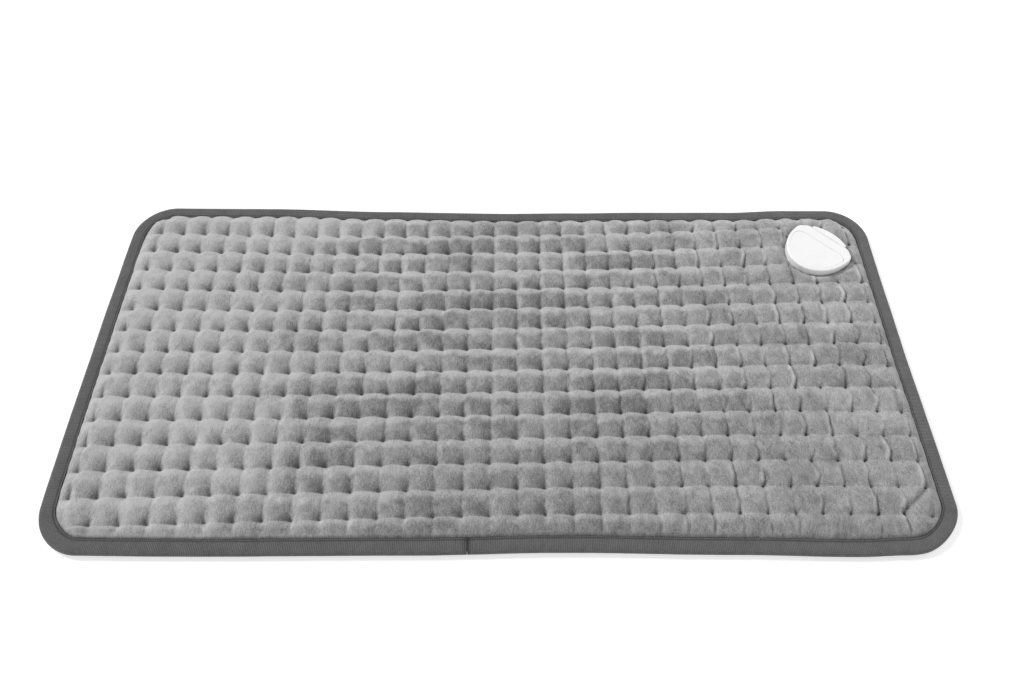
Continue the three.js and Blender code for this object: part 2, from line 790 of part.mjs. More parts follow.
// The base: a tray inside the pad whose flange carries the front cover from below.
function controllerBase() {
  const inner = baseWallInset + baseWall;
  const wall = prism(ovalOutline(baseWallInset), baseBottom, baseTop);
  const flange = prism(ovalOutline(-flangeReach), flangeTop - flangeThickness, flangeTop);
  const hollow = prism(ovalOutline(inner), floorTop, baseTop + overrun);
  const pads = screwSites.map(([u, w]) => post(u, w, screwPadDiameter, baseBottom, bossMeet));
  const supports = [1, -1].map((side) =>
    post(boardEndU + supportInset, side * supportW, supportDiameter, baseBottom, bossMeet),
  );
  const underSwitch = post(switchU, 0, supportDiameter, baseBottom, bossMeet);
  const bores = screwSites.flatMap(([u, w]) => [
    post(u, w, screwHeadDiameter + 2 * gap, baseBottom - overrun, baseBottom + screwHeadHeight + gap),
    post(u, w, screwDiameter + 2 * gap, baseBottom - overrun, bossMeet + overrun),
  ]);
  const reach = leadDiameter / 2 + leadNotchMargin;
  const notches = [1, -1].map((side) => {
    const w = (side * leadSpacing) / 2;
    return block(
      [leadEntryU - flangeReach - baseWallInset - overrun, w - reach, floorTop],
      [leadEntryU + baseWall + overrun, w + reach, coverBottom],
    );
  });
  const housingHalf = blockHalf + gap + webThickness + slideGap;
  const front = block(
    [windowChord - slideGap, -housingHalf, tackTop],
    [chordDistance, housingHalf, baseTop + overrun],
  );
  const tray = cut(joined(wall, flange), hollow);
  return cut(joined(tray, ...pads, ...supports, underSwitch), ...bores, ...notches, front);
}

// Controller: shell

// The tongue's outline, grown by a margin: straight sides and a bulged end.
function tongueOutline(margin) {
  const half = tongueWidth / 2 + margin;
  const end = tongueReach + margin;
  const corner = end - tongueBulge;
  const outline = new THREE.Shape();
  outline.moveTo(windowChord, -half);
  outline.lineTo(corner - tongueCorner, -half);
  outline.quadraticCurveTo(corner, -half, corner, -half + tongueCorner);
  outline.quadraticCurveTo(end + tongueBulge, 0, corner, half - tongueCorner);
  outline.quadraticCurveTo(corner, half, corner - tongueCorner, half);
  outline.lineTo(windowChord, half);
  return outline;
}

// Sections that round the top edge of an outline from its full size inwards.
function roundedTop(outlineAt, bottom, top, radius) {
  const sections = [{ outline: outlineAt(0), z: bottom }];
  for (let k = 0; k <= rimSteps; k++) {
    const turn = ((k / rimSteps) * Math.PI) / 2;
    const inset = radius * (1 - Math.cos(turn));
    sections.push({ outline: outlineAt(inset), z: top - radius + radius * Math.sin(turn) });
  }
  return loft(sections);
}

// The button's opening or the button itself, with its corners at the chord rounded.
function buttonOutline(inset, chord) {
  return ovalOutline(inset, chord, buttonCornerRun, buttonCornerFlat);
}

// The places of the button's three hooks: u, w and the direction that the barb points in.
function hookSites() {
  const a = ovalHalfLength - hookInset;
  const b = ovalHalfWidth - hookInset;
  const w = b * Math.sqrt(1 - (switchU / a) ** 2);
  return [
    { u: -a, w: 0, turn: Math.PI },
    { u: switchU, w, turn: Math.PI / 2 },
    { u: switchU, w: -w, turn: -Math.PI / 2 },
  ];
}

// A box at a hook's place, from an inner to an outer reach along the barb's direction.
function hookBlock({ u, w, turn }, inner, outer, half, bottom, top) {
  const geometry = new THREE.BoxGeometry(outer - inner, 2 * half, top - bottom);
  geometry.translate((outer + inner) / 2, 0, (top + bottom) / 2);
  return solidOf(geometry.rotateZ(turn).translate(u, w, 0));
}

// The shell: a wall, a deck under the button, and a tongue with the socket for the lead.
function controllerShell() {
  const body = roundedTop((inset) => ovalOutline(inset), shellBottom, shellTop, rimRounding);
  const tongue = roundedTop((inset) => tongueOutline(-inset), shellBottom, tongueTop, rimRounding);
  const window = prism(buttonOutline(rimWidth, windowChord), deckTop, shellTop + overrun);
  const under = prism(ovalOutline(shellWall), shellBottom - overrun, deckBottom);
  const springHole = post(switchU, 0, springDiameter + 2 * slideGap, deckBottom - overrun, deckTop + overrun);
  const slots = hookSites().map((site) => {
    const inner = -hookThickness / 2 - hookBarb - slideGap;
    const outer = hookThickness / 2 + slideGap;
    return hookBlock(site, inner, outer, hookWidth / 2 + slideGap, deckBottom - overrun, deckTop + overrun);
  });
  const bosses = screwSites.map(([u, w]) => post(u, w, bossDiameter, bossMeet + gap, deckTop));
  const screwBores = screwSites.map(([u, w]) =>
    post(u, w, screwDiameter + 2 * gap, bossMeet - overrun, deckBottom),
  );
  const housingHalf = blockHalf + gap + webThickness;
  const housing = block(
    [windowChord, -housingHalf, shellBottom],
    [chordDistance, housingHalf, tongueTop - gap],
  );
  const pocket = block(
    [pocketRear, -blockHalf - gap, shellBottom - overrun],
    [pocketFront, blockHalf + gap, socketTop + gap],
  );
  const socket = block(
    [pocketRear, -socketWidth / 2, socketBottom],
    [tongueReach + overrun, socketWidth / 2, socketTop],
  );
  const hollowed = cut(joined(body, tongue), window, under);
  const furnished = joined(hollowed, housing, ...bosses);
  return cut(furnished, springHole, ...slots, ...screwBores, pocket, socket);
}

// Controller: button

// The press button: a plate with a skirt, a rib over the switch, and three hooks.
function buttonCap() {
  const inset = rimWidth + slideGap;
  const plate = roundedTop(
    (more) => buttonOutline(inset + more, buttonChord - more),
    plateBottom,
    shellTop,
    buttonRounding,
  );
  const inner = buttonOutline(inset + buttonSkirtWall, buttonChord - buttonSkirtWall);
  const skirt = cut(
    prism(buttonOutline(inset, buttonChord), skirtBottom, plateBottom + buttonRounding),
    prism(inner, skirtBottom - overrun, plateBottom),
  );
  const rib = post(switchU, 0, ribDiameter, plungerTop + gap, plateBottom + buttonRounding);
  const hookBottom = deckBottom - gap - hookBarbHeight;
  const half = hookThickness / 2;
  const hooks = hookSites().flatMap((site) => [
    hookBlock(site, -half, half, hookWidth / 2, hookBottom, plateBottom + buttonRounding),
    hookBlock(site, -half, half + hookBarb, hookWidth / 2, hookBottom, deckBottom - gap),
  ]);
  return joined(plate, skirt, rib, ...hooks);
}

// The coil spring that lifts the button, standing on the board around the switch.
function returnSpring() {
  const radius = (springDiameter - springWire) / 2;
  const low = partFloor + springWire / 2;
  const high = plateBottom - gap - springWire / 2;
  const steps = springTurns * springSteps;
  const points = Array.from({ length: steps + 1 }, (_, k) => {
    const turn = (k / springSteps) * 2 * Math.PI;
    const z = low + ((high - low) * k) / steps;
    return new THREE.Vector3(switchU + radius * Math.cos(turn), radius * Math.sin(turn), z);
  });
  return solidOf(tubeAlong(points, springWire, springSides, new THREE.Vector3(0, 0, 1)));
}

// Controller: board and its parts

function circuitBoard() {
  const plate = prism(ovalOutline(boardEdge), boardBottom, boardTop);
  const [low, high] = [boardBottom - overrun, boardTop + overrun];
  const behind = block([-ovalHalfLength, -ovalHalfWidth, low], [boardEndU, ovalHalfWidth, high]);
  const corners = [1, -1].map((side) => {
    const edges = [side * boardTabHalf, side * ovalHalfWidth].sort((a, b) => a - b);
    return block([-ovalHalfLength, edges[0], low], [boardShoulderU, edges[1], high]);
  });
  const clear = [1, -1].map((side) =>
    post(frontBossU, side * frontBossW, bossDiameter + 2 * slideGap, low, high),
  );
  return cut(plate, behind, ...corners, ...clear);
}

function switchBody() {
  const half = switchSide / 2;
  const body = block([switchU - half, -half, partFloor], [switchU + half, half, switchTop]);
  return cut(body, post(switchU, 0, plungerDiameter + 2 * gap, partFloor + switchFloor, switchTop + overrun));
}

function switchPlunger() {
  const bottom = partFloor + switchFloor + buttonTravel + gap;
  return post(switchU, 0, plungerDiameter, bottom, plungerTop);
}

// A component that stands on the board beside the spring, as a box. The side is 1 or -1, and
// what lies behind it on that side is given by its length.
function onBoard(side, [length, width], height, behind = 0) {
  const rear = partsRear + (behind && behind + partGap);
  const edges = [side * partsSide, side * (partsSide + width)].sort((a, b) => a - b);
  return block([rear, edges[0], partFloor], [rear + length, edges[1], partFloor + height]);
}

// The terminal block behind the board, with a foot that is soldered to its top.
function terminalBlock() {
  const top = floorTop + gap + terminalHeight;
  const body = block([terminalRear, -terminalHalf, floorTop + gap], [terminalFront, terminalHalf, top]);
  const foot = block(
    [terminalFront - gap, -terminalHalf, partFloor],
    [footFront, terminalHalf, top],
  );
  return joined(body, foot);
}

// The saddle that clamps both leads to the base's floor.
function leadClamp() {
  const half = (leadSpacing + leadDiameter) / 2 + clampEndMargin;
  const top = leadTop + gap + clampBar;
  const over = block([clampRear, -half, leadTop + gap], [clampFront, half, top]);
  const legs = [
    block([clampRear, half - clampLeg, floorTop + gap], [clampFront, half, top]),
    block([clampRear, -half, floorTop + gap], [clampFront, clampLeg - half, top]),
  ];
  return joined(over, ...legs);
}

// The block that closes the back of the socket and holds its two pins.
function inletBlock() {
  const body = block([blockRear, -blockHalf, partFloor], [blockFront, blockHalf, socketTop]);
  const tools = [1, -1].flatMap((side) => {
    const w = (side * pinSpacing) / 2;
    const reach = pinDiameter / 2 + gap;
    return [
      block(
        [blockRear - overrun, w - reach, partFloor - overrun],
        [blockRear + pinLeg + gap, w + reach, pinZ + reach],
      ),
      bar(blockRear, blockFront + overrun, w, pinZ, pinDiameter + 2 * gap),
    ];
  });
  return cut(body, ...tools);
}

// A contact pin: a round pin in the socket, and a leg down to the board.
function inletPin(side) {
  const w = (side * pinSpacing) / 2;
  const pin = bar(blockRear, pinTipU, w, pinZ, pinDiameter);
  const half = pinLeg / 2;
  return joined(pin, block([legU - half, w - half, partFloor], [legU + half, w + half, pinZ]));
}

// A shell screw: its head in the base's recess, its thread in the shell's boss.
function shellScrew([u, w]) {
  const head = post(u, w, screwHeadDiameter, baseBottom, baseBottom + screwHeadHeight);
  const shank = post(u, w, screwDiameter, baseBottom, deckBottom - screwEndGap);
  return joined(head, shank);
}

// Assembly

const pad = new THREE.Group();
const controller = new THREE.Group();
controller.position.set(controllerX, controllerY, 0);
controller.rotation.z = controllerTurn;
pad.add(controller);

// Adds one named piece to a group.
function place(parent, name, solid, material) {
  const mesh = new THREE.Mesh(geometryOf(solid), material);
  mesh.name = name;
  parent.add(mesh);
}

place(pad, "front_cover", frontCover(), plush);
place(pad, "back_cover", backCover(), backPlush);
place(pad, "edge_binding", edgeBinding(), tapeCloth);
place(pad, "front_wadding", innerSheet(frontWaddingBottom, frontWadding), wadding);
place(pad, "back_wadding", innerSheet(backTop + gap, backWadding), wadding);
place(pad, "heater_carrier", heaterCarrier(), nonWoven);
wireRoutes().forEach((route, k) => {
  const wire = wireThrough(route, heatingWireDiameter, wireSides, wireBend);
  place(pad, `heating_wire_${k + 1}`, wire, wireJacket);
});
cutoutCentres().forEach((centre, k) => {
  place(pad, `thermal_cutout_${k + 1}`, thermalCutout(centre), sleeve);
});
[1, -1].forEach((side, k) => {
  const lead = wireThrough(leadRoute(side).corners, leadDiameter, leadSides, leadBendRun / 2);
  place(pad, `heater_lead_${k + 1}`, lead, leadJacket);
  place(pad, `crimp_splice_${k + 1}`, splice(side), sleeve);
  place(controller, `inlet_pin_${k + 1}`, inletPin(side), brass);
});
screwSites.forEach((site, k) => {
  place(controller, `shell_screw_${k + 1}`, shellScrew(site), steel);
});
place(controller, "controller_base", controllerBase(), whitePlastic);
place(controller, "controller_shell", controllerShell(), whitePlastic);
place(controller, "button_cap", buttonCap(), whitePlastic);
place(controller, "return_spring", returnSpring(), steel);
place(controller, "circuit_board", circuitBoard(), boardGreen);
place(controller, "switch_body", switchBody(), darkPlastic);
place(controller, "switch_plunger", switchPlunger(), darkPlastic);
place(controller, "triac", onBoard(1, triacSize, tallestPart), darkPlastic);
place(controller, "fuse", onBoard(1, fuseSize, tallestPart, triacSize[0]), sleeve);
place(controller, "film_capacitor", onBoard(-1, capacitorSize, tallestPart), wireJacket);
place(controller, "microcontroller", onBoard(-1, chipSize, chipHeight, capacitorSize[0]), darkPlastic);
place(controller, "terminal_block", terminalBlock(), darkPlastic);
place(controller, "lead_clamp", leadClamp(), darkPlastic);
place(controller, "inlet_block", inletBlock(), darkPlastic);

export default pad;
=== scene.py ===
"""Looks of the heating pad: plush covers, ribbed binding, filling, controller and studio."""

import bpy
import math
import numpy as np
from mathutils import Matrix, Vector
from types import SimpleNamespace


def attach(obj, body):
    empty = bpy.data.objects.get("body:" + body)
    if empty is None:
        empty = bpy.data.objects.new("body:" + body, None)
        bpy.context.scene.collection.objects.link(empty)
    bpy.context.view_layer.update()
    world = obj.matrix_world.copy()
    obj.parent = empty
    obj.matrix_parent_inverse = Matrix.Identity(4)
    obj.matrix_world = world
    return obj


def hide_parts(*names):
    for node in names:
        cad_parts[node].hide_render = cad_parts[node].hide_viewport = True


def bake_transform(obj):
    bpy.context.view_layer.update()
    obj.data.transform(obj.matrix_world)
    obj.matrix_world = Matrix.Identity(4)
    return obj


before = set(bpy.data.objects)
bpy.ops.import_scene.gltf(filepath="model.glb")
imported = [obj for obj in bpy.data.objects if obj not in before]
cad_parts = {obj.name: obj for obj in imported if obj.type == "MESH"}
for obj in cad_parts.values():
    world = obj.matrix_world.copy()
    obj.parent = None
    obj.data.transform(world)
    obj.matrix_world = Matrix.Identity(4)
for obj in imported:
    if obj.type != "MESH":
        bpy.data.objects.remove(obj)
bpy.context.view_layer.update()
MM = 0.001

# Sizes that the solids have too, in millimetres
PAD_LENGTH, PAD_WIDTH, CORNER_RADIUS = 610, 305, 32
CORNER_X, CORNER_Y = PAD_LENGTH / 2 - CORNER_RADIUS, PAD_WIDTH / 2 - CORNER_RADIUS
BINDING_WIDTH, BINDING_TOP, TAPE = 10.7, 4.3, 0.8
SEAM_X, SEAM_GAP = -23, 0.3
COLUMN_PITCH, ROW_PITCH, ROW_DRIFT = 18.55, 19.55, 9.7
COLUMNS, ROWS = 32, 14
CONTROLLER, SHELL_TOP = (260.4, 107.9), 12.6
OVAL_A, OVAL_B, CHORD, TONGUE_REACH = 33.8, 26, 7.3, 13.7
EAR_RUN, EAR_FLAT, EAR_SHARE = 6, 15.5, 0.6  # run along the oval, half of the flat end, and share of the bend
DIAGONAL = math.sqrt(0.5)  # the controller points at the pad's corner, so it is turned by 45 degrees

# The cover's height at the binding, at the tacks and between them, and the most that it may have
SEWN_TOP, TACK_TOP, CROWN_TOP, COVER_CEILING = 3.35, 6.2, 9.6, 12.0
STITCH_INSET = 9.2  # of the seam that sews the binding on, from the pad's edge


# Small helpers

def smooth(x):
    """0 to 1 with no slope at either end."""
    x = np.clip(x, 0, 1)
    return x * x * (3 - 2 * x)


def between(x, start, end):
    """0 before start, 1 after end, and smooth between them; start may be the larger one."""
    return smooth((x - start) / (end - start))


def hashed(a, b, seed, factors=(12.9898, 78.233, 37.719)):
    """A repeatable number from -1 to 1 for a whole-number pair."""
    h = np.sin(a * factors[0] + b * factors[1] + seed * factors[2]) * 43758.5453
    return (h - np.floor(h)) * 2 - 1


def lattice_noise(x, y, size, seed):
    """Smooth noise from -1 to 1 in two dimensions, with features of that size."""
    x, y = np.asarray(x, float) / size, np.asarray(y, float) / size
    i, j = np.floor(x).astype(int), np.floor(y).astype(int)
    fx, fy = smooth(x - i), smooth(y - j)

    def between_columns(row):
        left, right = (hashed(column, row, seed, (127.1, 311.7, 74.7)) for column in (i, i + 1))
        return left * (1 - fx) + right * fx

    return between_columns(j) * (1 - fy) + between_columns(j + 1) * fy


def folds(x, y, size, seed):
    """Two layers of the smooth noise."""
    return lattice_noise(x, y, size, seed) + 0.5 * lattice_noise(x, y, size * 0.47, seed + 5)


def placed(name, data):
    """A new object in the scene."""
    made = bpy.data.objects.new(name, data)
    bpy.context.scene.collection.objects.link(made)
    return made


def mesh_object(name, points, faces, material, uv=None, attributes=None):
    """A smooth-shaded mesh from points in millimetres."""
    mesh = bpy.data.meshes.new(name)
    mesh.from_pydata((np.asarray(points, float) * MM).tolist(), [], [list(map(int, f)) for f in faces])
    mesh.update()
    mesh.polygons.foreach_set("use_smooth", [True] * len(mesh.polygons))
    for key, values in (attributes or {}).items():
        layer = mesh.attributes.new(key, "FLOAT", "POINT")
        layer.data.foreach_set("value", np.asarray(values, np.float32))
    if uv is not None:
        corner = np.empty(len(mesh.loops), np.int32)
        mesh.loops.foreach_get("vertex_index", corner)
        layer = mesh.uv_layers.new(name="tape")
        layer.data.foreach_set("uv", np.asarray(uv, np.float32)[corner].ravel())
    mesh.materials.append(material)
    return placed(name, mesh)


def along(xs, ys):
    """A smooth curve through stations, as a function."""
    xs, ys = np.asarray(xs, float), np.asarray(ys, float)

    def at(x):
        k = np.clip(np.searchsorted(xs, x) - 1, 0, len(xs) - 2)
        t = smooth((x - xs[k]) / (xs[k + 1] - xs[k]))
        return ys[k] * (1 - t) + ys[k + 1] * t

    return at


# How far each edge of the pad bows outwards, in millimetres
far_bow = along([-305, -190, -95, 0, 60, 120, 190, 240, 305],
                [-0.8, -1.1, -3.8, -5.1, -4.1, -2.9, -2.4, 0, 0.4])
near_bow = along([-305, -200, -60, 40, 150, 230, 262, 305], [0.2, 1.3, 0.7, -0.95, 0.5, 2.1, 1.0, -5.5])
left_bow = along([-152, -105, -60, 30, 90, 152], [-2.4, -1.4, -1.1, -1.3, -1.8, -3.0])
right_bow = along([-152, -60, 0, 60, 152], [-1.6, -1.7, -2.1, -1.6, -0.6])


def bowed(x, y):
    """A point of the flat pad, moved with the bow of its edges."""
    near_edge = between(np.abs(y), 95, 152)
    side_edge = between(np.abs(x), 235, 305)
    dy = np.where(y > 0, far_bow(x), -near_bow(x)) * near_edge
    dx = np.where(x > 0, right_bow(y), -left_bow(y)) * side_edge
    return x + dx, y + dy


def edge_distance(x, y):
    """How far a point lies inside the pad's outer edge."""
    fx, fy = np.abs(x) - CORNER_X, np.abs(y) - CORNER_Y
    outside = np.hypot(np.maximum(fx, 0), np.maximum(fy, 0))
    return CORNER_RADIUS - outside - np.minimum(np.maximum(fx, fy), 0)


def controller_place(x, y):
    """A point of the pad in the controller's own frame."""
    dx, dy = x - CONTROLLER[0], y - CONTROLLER[1]
    return (dx + dy) * DIAGONAL, (dy - dx) * DIAGONAL


def controller_distance(x, y):
    """How far a point lies outside the controller's outline, its tongue included, roughly."""
    u, w = controller_place(x, y)
    oval = (np.hypot(u / OVAL_A, w / OVAL_B) - 1) * OVAL_B
    body = np.maximum(oval, u - CHORD)
    tongue = np.maximum(np.maximum(np.abs(w) - EAR_FLAT, u - TONGUE_REACH), -u)
    return np.minimum(body, tongue)


# Materials

class Nodes:
    """Short calls for a node tree."""

    def __init__(self, name, kind=bpy.data.materials, shader="Principled BSDF"):
        self.made = kind.new(name)
        self.made.use_nodes = True
        self.tree = self.made.node_tree
        self.shader = self.tree.nodes[shader]

    def node(self, kind, inputs=None, **settings):
        made = self.tree.nodes.new("ShaderNode" + kind)
        for key, value in settings.items():
            setattr(made, key, value)
        for key, value in (inputs or {}).items():
            self.feed(made.inputs[key], value)
        return made

    def feed(self, socket, value):
        """A number, a colour or another node's output into a socket."""
        if isinstance(value, (int, float)):
            socket.default_value = value
        elif isinstance(value, tuple):
            socket.default_value = (*value, 1)
        else:
            self.tree.links.new(value, socket)

    def set(self, **values):
        """Values on the shader's own sockets."""
        names = {"colour": "Base Color", "rough": "Roughness", "metal": "Metallic",
                 "specular": "Specular IOR Level", "sheen": "Sheen Weight", "sheen_rough": "Sheen Roughness",
                 "coat": "Coat Weight", "coat_rough": "Coat Roughness", "glow": "Emission Color",
                 "glow_strength": "Emission Strength"}
        for key, value in values.items():
            self.feed(self.shader.inputs[names[key]], value)

    def place(self, scale=(1, 1, 1), turn=0.0, source="Object"):
        """Coordinates, stretched and turned."""
        mapping = self.node("Mapping", {"Vector": self.node("TexCoord").outputs[source]})
        mapping.inputs["Scale"].default_value = scale
        mapping.inputs["Rotation"].default_value = (0, 0, turn)
        return mapping.outputs["Vector"]

    def noise(self, size, detail=2, rough=0.5, vector=None, warp=0.0):
        """Noise whose features have that size in millimetres."""
        made = self.node("TexNoise", {"Scale": 1 / (size * MM), "Detail": detail, "Roughness": rough,
                                      "Distortion": warp, "Vector": vector or self.place()})
        return made.outputs["Fac"]

    def ramp(self, value, low, high, out_low=0.0, out_high=1.0, kind="SMOOTHSTEP"):
        made = self.node("MapRange", {"Value": value, "From Min": low, "From Max": high,
                                      "To Min": out_low, "To Max": out_high}, interpolation_type=kind)
        return made.outputs["Result"]

    def math(self, operation, *values):
        return self.node("Math", dict(enumerate(values)), operation=operation).outputs["Value"]

    def sine(self, value, pitch):
        """A wave along a value in millimetres."""
        return self.math("SINE", self.math("MULTIPLY", value, 2 * math.pi / pitch))

    def mix(self, share, first, second):
        colour_a, colour_b, colour_result = 6, 7, 2
        made = self.node("Mix", {"Factor": share, colour_a: first, colour_b: second}, data_type="RGBA")
        return made.outputs[colour_result]

    def grey(self, value):
        """A grey colour from a number."""
        return self.node("CombineColor", {0: value, 1: value, 2: value}).outputs["Color"]

    def attribute(self, name):
        return self.node("Attribute", attribute_name=name).outputs["Fac"]

    def bump(self, height, distance, strength=1.0):
        """A bump of that height in millimetres, on top of any earlier one."""
        made = self.node("Bump", {"Strength": strength, "Distance": distance * MM, "Height": height})
        normal = self.shader.inputs["Normal"]
        if normal.is_linked:
            self.feed(made.inputs["Normal"], normal.links[0].from_socket)
        self.feed(normal, made.outputs["Normal"])


def plush_material(name, light, dark):
    """Brushed pile: streaks and specks of fibre over the lie of the pile and the painted light and shade that
    the mesh carries, and painted shade in its creases and dimples.
    """
    n = Nodes(name)
    n.set(rough=1.0, sheen=0.30, sheen_rough=0.5, specular=0.12)
    streak = n.noise(1.2, 3, 0.65, n.place((1.5, 0.42, 0)), 0.4)
    tuft = n.noise(6.5, 3, 0.6, n.place((1.25, 0.8, 0)), 0.8)
    speck = n.noise(0.85, 2, 0.75, n.place((1, 1, 0)))
    lay = n.attribute("nap_and_painted_light")
    for pattern, weight in ((streak, 1.0), (tuft, 0.85), (speck, 1.15)):
        lay = n.math("ADD", lay, n.math("MULTIPLY", n.math("SUBTRACT", pattern, 0.5), weight))
    shade = n.ramp(lay, 0, 1, dark, light, "LINEAR")
    # Painted shade in the folds and dimples
    crease_shade = n.ramp(n.attribute("crease_shade"), 0, 1, 1, 0.32, "LINEAR")
    n.set(colour=n.grey(n.math("MULTIPLY", shade, crease_shade)))
    n.bump(speck, 0.36, 0.8)
    n.bump(streak, 0.55, 0.7)
    return n.made


def tape_material(name, tone):
    """Ribbed tape: fine ribs across it, with worn and lint-flecked variation, and painted shade between the
    ribs, in the stitch groove, at its pinched ends and along its inner lip.
    """
    n = Nodes(name)
    n.set(rough=0.92, sheen=0.12, specular=0.2)
    split = n.node("SeparateXYZ", {0: n.place(source="UV")})
    ribs, weave = n.sine(split.outputs["X"], 1.15), n.sine(split.outputs["Y"], 0.9)
    tint = n.ramp(n.noise(9, 4, 0.6), 0.3, 0.7, tone * 0.88, tone * 1.12, "LINEAR")
    # The ribs' valleys and the folded places get painted shade; the two noises are worn and lint-flecked tone
    for pattern, *limits in ((ribs, -1, 1, 0.72, 1.14), (n.attribute("crease_shade"), 0, 1, 1, 0.40),
                             (n.noise(1.1, 2, 0.7), 0.35, 0.65, 0.86, 1.14)):
        tint = n.math("MULTIPLY", tint, n.ramp(pattern, *limits, "LINEAR"))
    n.set(colour=n.grey(tint))
    n.bump(weave, 0.05, 0.5)
    n.bump(ribs, 0.16, 0.9)
    return n.made


def fibre_material(name, colour, grain=1.4, depth=0.25):
    """Wadding or non-woven sheet: tangled fibres."""
    n = Nodes(name)
    n.set(rough=1.0, sheen=0.2, specular=0.1)
    tangle = n.noise(grain, 5, 0.75, n.place((1, 1, 1)), 1.8)
    worn = tuple(c * 0.8 for c in colour)
    n.set(colour=n.mix(n.ramp(tangle, 0.35, 0.65), worn, colour))
    n.bump(tangle, depth, 0.8)
    return n.made


def thread_material(name, tone):
    """Twisted sewing thread."""
    n = Nodes(name)
    n.set(rough=0.7, sheen=0.2)
    twist = n.noise(0.5, 2, 0.5, n.place((1, 2.5, 1)))
    n.set(colour=n.grey(n.ramp(twist, 0.3, 0.7, tone * 0.7, tone * 1.2, "LINEAR")))
    n.bump(twist, 0.06, 0.8)
    return n.made


def plastic_material(name, colour, rough, grain=0.35, depth=0.012, spots=0.03):
    """Moulded plastic: fine spark-eroded grain, slight unevenness of gloss and colour."""
    n = Nodes(name)
    n.set(specular=0.5)
    cloud = n.noise(14, 3, 0.5)
    n.set(colour=n.mix(n.ramp(cloud, 0.3, 0.7), tuple(c * (1 - spots) for c in colour), colour))
    gloss = n.ramp(n.noise(3.5, 3, 0.6), 0.3, 0.7, rough * 0.88, min(rough * 1.12, 1))
    n.set(rough=gloss)
    n.bump(n.noise(grain, 2, 0.5), depth, 0.5)
    return n.made


def metal_material(name, colour, rough):
    """Plated or turned metal: fine drawn lines and a little tarnish."""
    n = Nodes(name)
    n.set(metal=1.0)
    tarnish = n.ramp(n.noise(2.2, 4, 0.6), 0.35, 0.75)
    n.set(colour=n.mix(tarnish, colour, tuple(c * 0.72 for c in colour)))
    lines = n.noise(0.35, 2, 0.6, n.place((1, 1, 6)))
    n.set(rough=n.ramp(lines, 0.3, 0.7, rough * 0.75, rough * 1.35))
    n.bump(lines, 0.01, 0.4)
    return n.made


def board_material(name):
    """Solder mask over glass cloth, with pale tracks under it."""
    n = Nodes(name)
    n.set(rough=0.35, coat=0.3, coat_rough=0.2)
    made = n.node("TexBrick", {
        "Scale": 260.0, "Mortar Size": 0.018, "Bias": -0.3, "Brick Width": 0.9, "Row Height": 0.32,
        "Color1": (0.012, 0.085, 0.035), "Color2": (0.010, 0.070, 0.030), "Mortar": (0.05, 0.19, 0.075),
        "Vector": n.place(turn=math.pi / 4)})
    n.set(colour=made.outputs["Color"])
    n.bump(made.outputs["Fac"], 0.03, 0.4)
    return n.made


PLUSH = plush_material("plush_face_pile", 0.50, 0.14)
BACK_PLUSH = plush_material("plush_back_pile", 0.46, 0.20)
TAPE_CLOTH = tape_material("ribbed_tape", 0.130)
WADDING = fibre_material("polyester_wadding", (0.78, 0.78, 0.75))
NON_WOVEN = fibre_material("non_woven_sheet", (0.62, 0.62, 0.58), 0.8, 0.08)
THREAD = thread_material("grey_thread", 0.05)
WHITE = plastic_material("white_satin_plastic", (0.84, 0.84, 0.84), 0.38)
DARK = plastic_material("dark_moulding", (0.022, 0.022, 0.025), 0.45)
SLEEVE = plastic_material("heat_shrink_sleeve", (0.028, 0.028, 0.03), 0.6, 0.6, 0.04)
WIRE_RED = plastic_material("heating_wire_jacket", (0.42, 0.05, 0.035), 0.5, 0.5, 0.02, 0.12)
LEAD_WHITE = plastic_material("lead_jacket", (0.66, 0.66, 0.62), 0.5, 0.5, 0.02, 0.08)
BOARD = board_material("solder_mask")
STEEL = metal_material("plated_steel", (0.60, 0.61, 0.62), 0.3)
BRASS = metal_material("turned_brass", (0.62, 0.42, 0.14), 0.25)


# Front cover: the quilted sheet

# The tacks' places as polynomials of column and row, each from -1 to 1:
# power of column, power of row, share in mm
TACK_X = ((0, 0, 1.44), (1, 0, 285.16), (2, 0, -0.47), (3, 0, -1.12), (0, 1, 1.14), (1, 1, -1.54),
          (2, 1, 0.79), (0, 2, 0.32), (1, 2, -1.96))
TACK_Y = ((0, 0, -4.76), (1, 0, 6.74), (2, 0, 1.23), (3, 0, -2.26), (0, 1, 123.11), (1, 1, 0.83),
          (2, 1, 5.23), (0, 2, -0.21), (1, 2, 0.06))
# The lattice's lines beyond the tacks: at the binding's inner edge, and under the binding
EDGE_X, UNDER_X, EDGE_Y, UNDER_Y = 294.3, 302.4, 141.9, 149.9


def polynomial(terms, u, v):
    return sum(share * u ** a * v ** b for a, b, share in terms)


def lattice_lines(count):
    """The places of the tack lines from -1 to 1, with two more lines at either end."""
    middle = (count - 1) / 2
    return np.clip((np.arange(-2, count + 2) - middle) / middle, -1, 1)


def lattice_nodes():
    """Where the lattice lines cross: the tacks, and two lines outside them at and under the binding."""
    column, row = lattice_lines(COLUMNS)[:, None], lattice_lines(ROWS)[None, :]
    x, y = polynomial(TACK_X, column, row), polynomial(TACK_Y, column, row)
    for line, place in ((0, -UNDER_X), (1, -EDGE_X), (-2, EDGE_X), (-1, UNDER_X)):
        x[line] = bowed(np.full(y.shape[1], place), y[line])[0]
    for line, place in ((0, -UNDER_Y), (1, -EDGE_Y), (-2, EDGE_Y), (-1, UNDER_Y)):
        y[:, line] = bowed(x[:, line], np.full(len(x), place))[1]
    return x, y


def spread(count):
    """Shares from 0 to 1, closer together at both ends."""
    s, crowd = np.arange(count) / count, 0.4
    return s - crowd * np.sin(2 * math.pi * s) / (2 * math.pi)


STEPS = 14  # fine steps in each cell; the simulation uses every second one
OUTER_STEPS, INNER_STEPS = 4, 8


